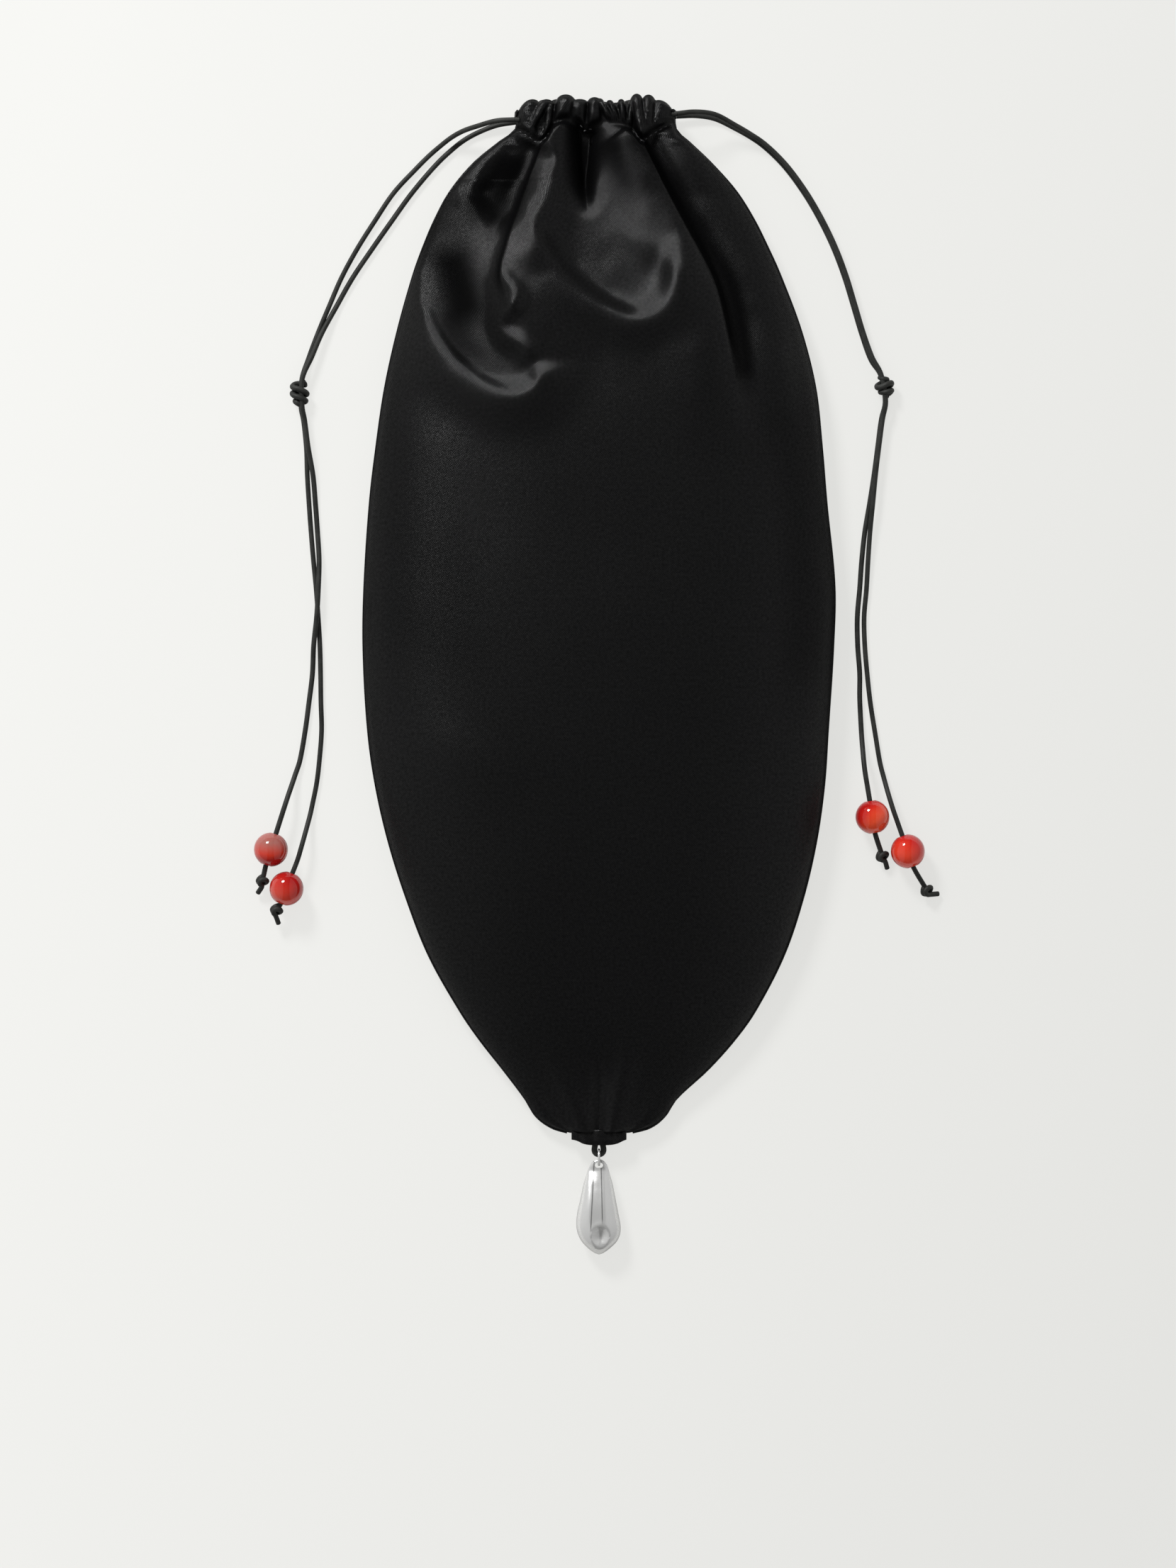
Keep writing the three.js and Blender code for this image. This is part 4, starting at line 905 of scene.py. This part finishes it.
# The thumb mark, and the long flat that runs down the front to it
MARK_X, MARK_SHARE, MARK_REACH, MARK_DEPTH = 0.45, 0.805, 1.9, 1.9
FLAT_X, FLAT_HALF, FLAT_DEPTH = -0.6, 1.7, 0.30
for point in drop.data.vertices:
    x, y, z = np.array(point.co) / MM
    share = (drop_top - y) / DROP_LENGTH
    _, _, half, middle = station_of(min(1, max(0, share)))
    if z <= middle:
        continue
    across = (x - MARK_X) / MARK_REACH
    down = (share - MARK_SHARE) * DROP_LENGTH / (MARK_REACH * 1.25)
    reach = math.hypot(across, down)
    pit = min(MARK_DEPTH, half * 0.5) * math.exp(-(reach**2.6))
    rim = 0.28 * math.exp(-(((reach - 1.45) / 0.28) ** 2)) * (1.0 if across < 0.4 else 0.55)
    flat = FLAT_DEPTH * math.exp(-(((x - FLAT_X) / FLAT_HALF) ** 4))
    flat *= float(ease(0.12, 0.3, share) * ease(0.76, 0.6, share))
    point.co.z = (z - pit + rim * float(ease(0, 1.2, half)) - flat) * MM

EYE_ROOF, EYE_RADIUS, EYE_SPREAD = 1.0, 0.775, 0.425
start_fresh()
bpy.ops.mesh.primitive_cylinder_add(
    vertices=40, radius=EYE_RADIUS * MM, depth=12 * MM,
    location=(0, (drop_top - EYE_ROOF - EYE_RADIUS) * MM, hang_z * MM))
punch = bpy.context.object
bpy.ops.object.transform_apply(location=True, rotation=True, scale=True)
for point in punch.data.vertices:  # the eye is a little wider than it is high
    point.co.x += EYE_SPREAD * MM * (1 if point.co.x > 0 else -1)
select_only(drop)
cut = drop.modifiers.new("eye", "BOOLEAN")
cut.operation, cut.object, cut.solver = "DIFFERENCE", punch, "EXACT"
bpy.ops.object.modifier_apply(modifier=cut.name)
bpy.data.objects.remove(punch)
settle(drop, "polished_drop")
bpy.ops.object.shade_smooth_by_angle(angle=math.radians(42))
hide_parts("silver_drop")
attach(drop, "drop")
print("drop", len(drop.data.polygons), "faces")

# %% [markdown]
# The beads are turned balls of stone, drilled through. A ball loses its two poles, the open
# rings are drawn in to the width of the bore, and a bridge joins them into the bore's wall.

# %% Beads
BORE_RADIUS, BORE_CHAMFER = 1.25, 0.25
start_fresh()
bpy.ops.mesh.primitive_uv_sphere_add(segments=64, ring_count=48, radius=BEAD_RADIUS * MM)
model_bead = bpy.context.object
mesh = model_bead.data
mouth = math.asin((BORE_RADIUS + BORE_CHAMFER) / BEAD_RADIUS)
bpy.ops.object.mode_set(mode="EDIT")
bpy.ops.mesh.select_all(action="DESELECT")
bpy.ops.mesh.select_mode(type="VERT")
bpy.ops.object.mode_set(mode="OBJECT")
for point in mesh.vertices:
    point.select = abs(point.co.z) > BEAD_RADIUS * MM * math.cos(mouth)
bpy.ops.object.mode_set(mode="EDIT")
bpy.ops.mesh.delete(type="VERT")
bpy.ops.mesh.select_non_manifold()
bpy.ops.mesh.extrude_region_move()
bpy.ops.object.mode_set(mode="OBJECT")
chosen = [p for p in mesh.vertices if p.select]
ring_radius = max(math.hypot(p.co.x, p.co.y) for p in chosen)
bpy.ops.object.mode_set(mode="EDIT")
draw_in = BORE_RADIUS * MM / ring_radius
bpy.ops.transform.resize(value=(draw_in, draw_in, 0.965))
bpy.ops.mesh.bridge_edge_loops()
bpy.ops.mesh.select_all(action="SELECT")
bpy.ops.mesh.normals_make_consistent(inside=False)
bpy.ops.object.mode_set(mode="OBJECT")
bpy.ops.object.shade_smooth_by_angle(angle=math.radians(35))
bead_pieces = {}
for i, (node, (place, heading, _, _)) in enumerate(beads.items()):
    bead = model_bead if i == 3 else model_bead.copy()
    if i < 3:
        bead.data = model_bead.data.copy()
        bpy.context.scene.collection.objects.link(bead)
    bead.rotation_euler = (math.pi / 2, 0, math.atan2(-heading[0], heading[1]))
    bead.location = centre_of(node)
    settle(bead, node.replace("bead", "stone"))
    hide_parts(node)
    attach(bead, node)
    bead_pieces[node] = bead
print("beads", len(bead_pieces), "of", len(model_bead.data.polygons), "faces")

# %% [markdown]
# Both laces of a side are tied in one knot halfway, and each ends in a small knot behind its
# bead. A tied lace is a curve that winds round itself, so each knot is a curve through listed
# points, in millimetres about the knot's middle: across, along the lace, and up.

# %% Knots
LEFT_WIND = [
    (0.9, 3.5, 0.3), (1.5, 2.5, -0.5), (0.4, 2.9, -1.1), (-1.2, 2.8, -0.9), (-2.1, 2.1, 0.0),
    (-1.7, 1.6, 1.1), (-0.4, 1.3, 1.6), (1.1, 0.7, 1.5), (2.1, 0.0, 0.5), (1.8, -0.3, -0.9),
    (0.2, 0.2, -1.5), (-1.5, 0.4, -1.1), (-2.15, 0.0, 0.1), (-1.6, -0.7, 1.1), (-0.3, -1.1, 1.5),
    (1.1, -1.7, 1.2), (1.8, -2.2, 0.2), (1.1, -2.5, -0.9), (-0.4, -2.3, -1.1), (-1.3, -2.2, -0.2),
    (-0.9, -2.7, 0.7), (0.1, -3.3, 0.4)]
RIGHT_WIND = [
    (-0.9, 3.3, 0.2), (0.0, 2.5, 1.0), (1.0, 2.1, 0.4), (0.8, 2.0, -1.0), (-0.8, 1.4, -1.4),
    (-2.1, 0.8, -0.4), (-2.0, 0.2, 0.8), (-0.7, 0.3, 1.6), (0.9, 0.7, 1.6), (2.1, 0.9, 0.6),
    (2.0, 0.4, -0.8), (0.5, -0.2, -1.5), (-1.2, -0.8, -1.1), (-1.4, -1.2, 0.3),
    (-0.3, -1.5, 1.2), (1.1, -1.4, 1.1), (1.8, -1.3, 0.0), (1.0, -1.9, -0.8),
    (-0.2, -2.3, -0.2), (0.0, -3.2, 0.2)]
END_WIND = [
    (0.0, 1.8, 0.0), (-0.8, 1.0, 0.6), (-1.2, 0.0, 0.1), (-0.6, -0.6, -0.9), (0.7, -0.2, -1.0),
    (1.2, 0.5, -0.1), (0.6, 0.8, 0.9), (-0.5, 0.3, 1.15), (-0.5, -0.8, 0.7), (0.2, -1.2, 0.1)]


def wind(name, points, middle, turn, diameter, tail=None):
    """A knot's curve, turned about the vertical and set down at its middle."""
    c, s = math.cos(turn), math.sin(turn)
    placed = [(middle[0] + c * x - s * y, middle[1] + s * x + c * y, middle[2] + z)
              for x, y, z in points]
    if tail is not None:
        placed.append(tail)
    piece = lace_curve(name, smooth_route(placed, 0.3), diameter=diameter, sides=4)
    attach(piece, "pouch")
    leather_pieces.append(piece)
    return piece


SIDE_KNOT_LACE, END_KNOT_LACE = 1.65, 1.5  # diameters; two laces are tied in a side knot
TAIL_DROP = 1.76  # how far a stub's tip hangs below its knot
for word, points, turn in (("left", LEFT_WIND, 0.0), ("right", RIGHT_WIND, 0.2)):
    node = f"{word}_middle_knot"
    middle = np.array(centre_of(node)) / MM
    wind(f"{word}_tied_knot", points, middle, turn, SIDE_KNOT_LACE)
    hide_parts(node)
for bead, (place, _, knot, tip) in beads.items():
    node = bead.replace("bead", "end_knot")
    height = end_knot_height(bead)
    heading = np.array(place) - np.array(knot)
    turn = math.atan2(-heading[0], heading[1])
    tail = (*tip, max(REST, height - TAIL_DROP))
    plump = 1.14 if bead.startswith("right") else 1.04  # the right lace is tied more loosely
    points = [(x * plump, y, z) for x, y, z in END_WIND]
    wind(node.replace("end_knot", "tied_end"), points, (*knot, height), turn,
                       END_KNOT_LACE, tail)
    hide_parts(node)

# %% [markdown]
# Each lace's real length is worked out from its route, and each panel's size before it was
# gathered from its flat cloth; both are printed where they are made.

# %% Cords and sheets
print("declared", len(laces), "cords and 2 sheets")

# %% [markdown]
# Materials come next. A small helper makes a node, sets its values and links its inputs, so
# each finish below reads as a list of what it is made of.


# %% Material helper
class Finish:
    """A material with its principled shader, and short calls that add nodes before it."""

    def __init__(self, name, **values):
        self.material = bpy.data.materials.new(name)
        self.material.use_nodes = True
        self.tree = self.material.node_tree
        self.shader = self.tree.nodes["Principled BSDF"]
        for key, value in values.items():
            self.shader.inputs[key.replace("_", " ")].default_value = value

    def node(self, kind, settings=None, **inputs):
        made = self.tree.nodes.new("ShaderNode" + kind)
        for key, value in (settings or {}).items():
            setattr(made, key, value)
        for key, value in inputs.items():
            socket = made.inputs[int(key[1:])] if key[0] == "i" and key[1:].isdigit() \
                else made.inputs[key.replace("_", " ")]
            if isinstance(value, bpy.types.NodeSocket):
                self.tree.links.new(value, socket)
            else:
                socket.default_value = value
        return made

    def link(self, output, name):
        self.tree.links.new(output, self.shader.inputs[name])

    def math(self, operation, a, b=0.0):
        return self.node("Math", {"operation": operation}, i0=a, i1=b).outputs[0]

    def ramp(self, value, *stops):
        made = self.node("ValToRGB", i0=value)
        band = made.color_ramp
        while len(band.elements) < len(stops):
            band.elements.new(0.5)
        for element, (place, colour) in zip(band.elements, stops):
            element.position = place
            element.color = (*colour, 1) if len(colour) == 3 else (colour[0],) * 3 + (1,)
        return made.outputs[0]

    def put_on(self, *pieces):
        for piece in pieces:
            piece.data.materials.clear()
            piece.data.materials.append(self.material)


# %% [markdown]
# Satin is a close smooth weave with a sheen on it. The weave reads the flat cloth's UV map: two
# sets of sine threads, a little over half a millimetre apart, lift the surface, and slow noise
# varies the sheen. The cloth is nearly black, with painted shade that dulls it in deep folds.

# %% Satin
THREAD = 0.56 * MM


def satin_finish(name, from_uv):
    """The cloth's finish. Trim that has no flat cloth takes its place in space instead."""
    cloth = Finish(name)
    where = cloth.node("TexCoord").outputs["UV" if from_uv else "Object"]
    turned = cloth.node("Mapping", Vector=where, Rotation=(0, 0, math.radians(8))).outputs[0]
    parts = cloth.node("SeparateXYZ", i0=turned)
    waves = [cloth.math("SINE", cloth.math("MULTIPLY", parts.outputs[i], 2 * math.pi / THREAD))
             for i in (0, 1)]
    crossing = cloth.math("MULTIPLY", waves[0], waves[1])
    slub = cloth.node("TexNoise", Vector=where, Scale=1100.0, Detail=2.0).outputs[0]
    height = cloth.math("ADD", cloth.math("MULTIPLY", crossing, 0.6),
                        cloth.math("MULTIPLY", slub, 0.6))
    weave = cloth.node("Bump", Height=height, Strength=0.7, Distance=0.07 * MM)
    cloth.link(weave.outputs[0], "Normal")
    slow = cloth.node("TexNoise", Vector=where, Scale=28.0, Detail=3.0).outputs[0]
    cloth.link(cloth.math("ADD", 0.26, cloth.math("MULTIPLY", slow, 0.10)), "Roughness")
    # painted shade: the stroke attribute takes shine away and darkens the thread colour
    painted_shade = cloth.node("Attribute", {"attribute_name": "painted_shade"}).outputs["Fac"]
    unshaded = cloth.math("SUBTRACT", 1.0, painted_shade)
    thread = cloth.math("ADD", 0.0029, cloth.math("MULTIPLY", crossing, 0.0024))
    depth = cloth.math("ADD", 0.55, cloth.math("MULTIPLY", unshaded, 0.45))
    thread = cloth.math("MULTIPLY", thread, depth)
    cloth.link(cloth.node("CombineColor", i0=thread, i1=thread,
                          i2=cloth.math("MULTIPLY", thread, 1.06)).outputs[0], "Base Color")
    # seen edge-on the threads shade each other, so the shine dies away there
    edge_on = cloth.node("LayerWeight", Blend=0.5).outputs["Facing"]
    shine = cloth.node("MapRange", i0=edge_on, i1=0.05, i2=0.60, i3=0.36, i4=0.02).outputs[0]
    grain = cloth.math("ADD", cloth.math("MULTIPLY", crossing, 0.4),
                       cloth.math("MULTIPLY", slub, 1.3))
    shine = cloth.math("MULTIPLY", shine, cloth.math("ADD", grain, 0.2))
    cloth.link(cloth.math("MULTIPLY", shine, unshaded), "Specular IOR Level")
    return cloth


satin = satin_finish("black_satin", True)
satin.put_on(front, back)
satin_small = satin_finish("black_satin_trim", False)
satin_small.put_on(*satin_pieces[2:])
thread = Finish("black_thread", Base_Color=(0.06, 0.06, 0.062, 1), Roughness=0.42)
twist = thread.node("TexNoise", Vector=thread.node("TexCoord").outputs["Object"], Scale=4000.0)
thread.link(thread.node("Bump", Height=twist.outputs[0], Strength=0.4,
                        Distance=0.05 * MM).outputs[0], "Normal")
thread.put_on(*thread_pieces)
print("satin on", len(satin_pieces), "pieces")

# %% [markdown]
# The lace is round leather with a smooth finished skin: dark brown-black, a soft gloss, and a
# grain of fine noise with a few longer marks. Here and there it is rubbed a shade lighter.

# %% Leather
leather = Finish("black_leather", Specular_IOR_Level=0.3)
where = leather.node("TexCoord").outputs["Object"]
grain = leather.node("TexNoise", Vector=where, Scale=2200.0, Detail=4.0, Roughness=0.6)
marks = leather.node("TexNoise", Vector=where, Scale=320.0, Detail=3.0)
leather.link(leather.ramp(marks.outputs[0], (0.35, (0.017, 0.018, 0.016)),
                          (0.75, (0.032, 0.033, 0.030))), "Base Color")
height = leather.math("ADD", grain.outputs[0], leather.math("MULTIPLY", marks.outputs[0], 0.8))
leather.link(leather.node("Bump", Height=height, Strength=0.35, Distance=0.06 * MM).outputs[0],
             "Normal")
leather.link(leather.math("ADD", 0.48, leather.math("MULTIPLY", marks.outputs[0], 0.2)),
             "Roughness")
leather.put_on(*leather_pieces)
print("leather on", len(leather_pieces), "pieces")

# %% [markdown]
# Carnelian is a translucent stone: light enters it, is coloured orange-red and comes out again
# all over, under a glassy polish. Its colour passes softly from one side of a bead to the other,
# a different way in each, and one bead is greyish pink on its upper half.


# %% Carnelian
def carnelian_finish(name, middle, toward, low, high):
    """One stone: its colour passes from low to high across it, toward the given side."""
    stone = Finish(name, Roughness=0.05, IOR=1.54, Subsurface_Weight=0.08,
                   Subsurface_Radius=(1.0, 0.12, 0.06), Subsurface_Scale=0.6 * MM,
                   Coat_Weight=0.4, Coat_Roughness=0.03)
    place = stone.node("TexCoord").outputs["Object"]
    about = stone.node("VectorMath", {"operation": "SUBTRACT"}, i0=place, i1=middle).outputs[0]
    axis = Vector(toward).normalized() / (2 * BEAD_RADIUS * MM)
    along = stone.node("VectorMath", {"operation": "DOT_PRODUCT"}, i0=about, i1=axis).outputs[1]
    cloud = stone.node("TexNoise", Vector=place, Scale=170.0, Detail=1.5, Distortion=0.6)
    veil = stone.node("TexNoise", Vector=place, Scale=60.0, Detail=0.0)
    mixed = stone.math("ADD", stone.math("ADD", along, 0.1),
                       stone.math("ADD", stone.math("MULTIPLY", cloud.outputs[0], 0.3),
                                  stone.math("MULTIPLY", veil.outputs[0], 0.5)))
    colour = stone.ramp(mixed, (0.12, (0.36, 0.004, 0.006)), (0.42, low), (0.80, high))
    # toward its rim the stone is painted a deeper colour, a painted shade of its edge
    rim = stone.node("LayerWeight", Blend=0.35).outputs["Facing"]
    deep = stone.node("MixRGB", i0=stone.math("MULTIPLY", rim, 0.75), i1=colour,
                      i2=(0.42, 0.012, 0.012, 1)).outputs[0]
    stone.link(deep, "Base Color")
    return stone


finishes = {
    "left_upper_bead": ((0.1, 1.0, 0.1), (0.66, 0.042, 0.020), (0.36, 0.13, 0.11)),
    "left_lower_bead": ((-0.5, -0.8, 0.2), (0.50, 0.022, 0.014), (0.66, 0.060, 0.034)),
    "right_upper_bead": ((0.6, -0.6, 0.2), (0.58, 0.018, 0.010), (0.86, 0.085, 0.030)),
    "right_lower_bead": ((-0.4, -0.7, 0.3), (0.56, 0.014, 0.010), (0.80, 0.060, 0.028)),
}
for node, (toward, low_tone, high_tone) in finishes.items():
    stone = carnelian_finish(node.replace("bead", "carnelian"), centre_of(node), toward,
                             low_tone, high_tone)
    stone.put_on(bead_pieces[node])
print("stones", len(finishes))

# %% [markdown]
# The drop and its ring are silver, polished and a little milky, so that part of the light is
# spread and part is mirrored. A faint waviness and fine rubbed marks soften the reflections.

# %% Silver
silver = Finish("polished_silver", Metallic=0.55)
where = silver.node("TexCoord").outputs["Object"]
hammer = silver.node("TexNoise", Vector=where, Scale=190.0, Detail=1.0)
scratch = silver.node("TexNoise", Vector=where, Scale=1900.0, Detail=3.0)
rim = silver.node("LayerWeight", Blend=0.4).outputs["Facing"]
gloss = silver.node("MapRange", i0=rim, i1=0.2, i2=0.7, i3=0.20, i4=0.34).outputs[0]
silver.link(silver.math("ADD", gloss, silver.math("MULTIPLY", scratch.outputs[0], 0.08)),
            "Roughness")
silver.link(silver.node("Bump", Height=hammer.outputs[0], Strength=0.25,
                        Distance=0.3 * MM).outputs[0], "Normal")
# two thin dark lines are painted down the front of the drop, painted reflections of dark edges:
# each is a straight line x = start + lean * y that stops at y = end, and darkens the metal
spot = silver.node("SeparateXYZ", i0=where).outputs
painted_reflection_lines = 1.0
for start, lean, end in ((5.870, 0.0511, -163.6), (-2.786, -0.0237, -161.2)):
    line = silver.math("ADD", start * MM, silver.math("MULTIPLY", spot[1], lean))
    off = silver.math("ABSOLUTE", silver.math("SUBTRACT", spot[0], line))
    mark = silver.node("MapRange", i0=off, i1=0.04 * MM, i2=0.26 * MM, i3=0.28, i4=1.0).outputs[0]
    beyond = silver.node("MapRange", i0=spot[1], i1=end * MM, i2=(end + 2.0) * MM, i3=0.0,
                         i4=1.0).outputs[0]
    mark = silver.math("SUBTRACT", 1.0, silver.math("MULTIPLY", silver.math("SUBTRACT", 1.0, mark),
                                                    beyond))
    painted_reflection_lines = silver.math("MULTIPLY", painted_reflection_lines, mark)
# painted shade: the metal's colour is darker toward its rim
tone = silver.node("MapRange", i0=rim, i1=0.25, i2=0.9, i3=0.86, i4=0.44).outputs[0]
tone = silver.math("MULTIPLY", tone, painted_reflection_lines)
silver.link(silver.node("CombineColor", i0=tone, i1=tone,
                        i2=silver.math("MULTIPLY", tone, 0.99)).outputs[0], "Base Color")
silver.put_on(drop, ring)
print("silver on 2 pieces")

# %% [markdown]
# The pouch lies on a plain pale floor. Seen by the camera the floor is mostly its own pale
# tone, so the background stays even, and the rest of it takes light and keeps a soft shadow.

# %% Floor
start_fresh()
bpy.ops.mesh.primitive_plane_add(size=6, location=(0, 0, 0))
floor = bpy.context.object
floor.name = "floor"
floor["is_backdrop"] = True
ground = Finish("pale_floor", Base_Color=(0.80, 0.80, 0.78, 1), Roughness=0.9)
# painted light: the floor glows a little lighter on the side that the light comes from
spread = ground.node("SeparateXYZ", i0=ground.node("TexCoord").outputs["Object"]).outputs
side = ground.math("ADD", spread[0], ground.math("MULTIPLY", spread[1], -0.25))
level = ground.node("MapRange", i0=side, i1=-0.20, i2=0.22, i3=0.94, i4=0.80).outputs[0]
glow = ground.node("Emission", Color=(1.0, 1.0, 0.972, 1), Strength=level)
seen = ground.node("LightPath").outputs["Is Camera Ray"]
share = ground.math("MULTIPLY", seen, 0.80)
both = ground.node("MixShader", i0=share, i1=ground.shader.outputs[0], i2=glow.outputs[0])
ground.tree.links.new(both.outputs[0], ground.tree.nodes["Material Output"].inputs[0])
ground.put_on(floor)
print("floor", [round(v, 1) for v in floor.dimensions])

# %% [markdown]
# The light is plain and soft. One lamp beyond the mouth of the bag and to its left grazes the
# folds and puts the spark on the beads, and the world fills the shadows. Polished things see a
# second world, a room of darker and lighter bands, which draws the silver.

# %% Lights
lamp_place = Vector((-0.75, 1.37, 1.09))
start_fresh()
bpy.ops.object.light_add(type="AREA", location=lamp_place)
lamp = bpy.context.object
lamp.name = "key_light"
lamp.data.shape = "ELLIPSE"
lamp.data.size, lamp.data.size_y = 0.50, 0.44
lamp.data.energy = 32
lamp.rotation_euler = (-lamp_place).to_track_quat("-Z", "Y").to_euler()

world = bpy.data.worlds.new("studio")
bpy.context.scene.world = world
world.use_nodes = True
air = world.node_tree
sky = air.nodes["Background"]
sky.inputs[0].default_value = (1.0, 1.0, 0.99, 1)
sky.inputs[1].default_value = 0.48
mirror_sky = air.nodes.new("ShaderNodeBackground")
direction = air.nodes.new("ShaderNodeTexCoord")
axes = air.nodes.new("ShaderNodeSeparateXYZ")
air.links.new(direction.outputs["Generated"], axes.inputs[0])
off_axis = air.nodes.new("ShaderNodeMath")
off_axis.operation = "ABSOLUTE"
air.links.new(axes.outputs[0], off_axis.inputs[0])
tones = air.nodes.new("ShaderNodeValToRGB")
for _ in range(4):
    tones.color_ramp.elements.new(0.5)
for element, (place, tone) in zip(tones.color_ramp.elements, (
        (0.0, 0.08), (0.20, 0.08), (0.24, 0.02), (0.32, 0.02), (0.38, 0.28), (1.0, 0.4))):
    element.position = place
    element.color = (tone, tone, tone, 1)
air.links.new(off_axis.outputs[0], tones.inputs[0])
air.links.new(tones.outputs[0], mirror_sky.inputs[0])
paths = air.nodes.new("ShaderNodeLightPath")
choose = air.nodes.new("ShaderNodeMixShader")
air.links.new(paths.outputs["Is Glossy Ray"], choose.inputs[0])
air.links.new(sky.outputs[0], choose.inputs[1])
air.links.new(mirror_sky.outputs[0], choose.inputs[2])
air.links.new(choose.outputs[0], air.nodes["World Output"].inputs[0])
bpy.context.scene.view_settings.view_transform = "Standard"

# %% [markdown]
# Last, the bounds of the finished pouch are worked out.

# %% Size and finish
low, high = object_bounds()
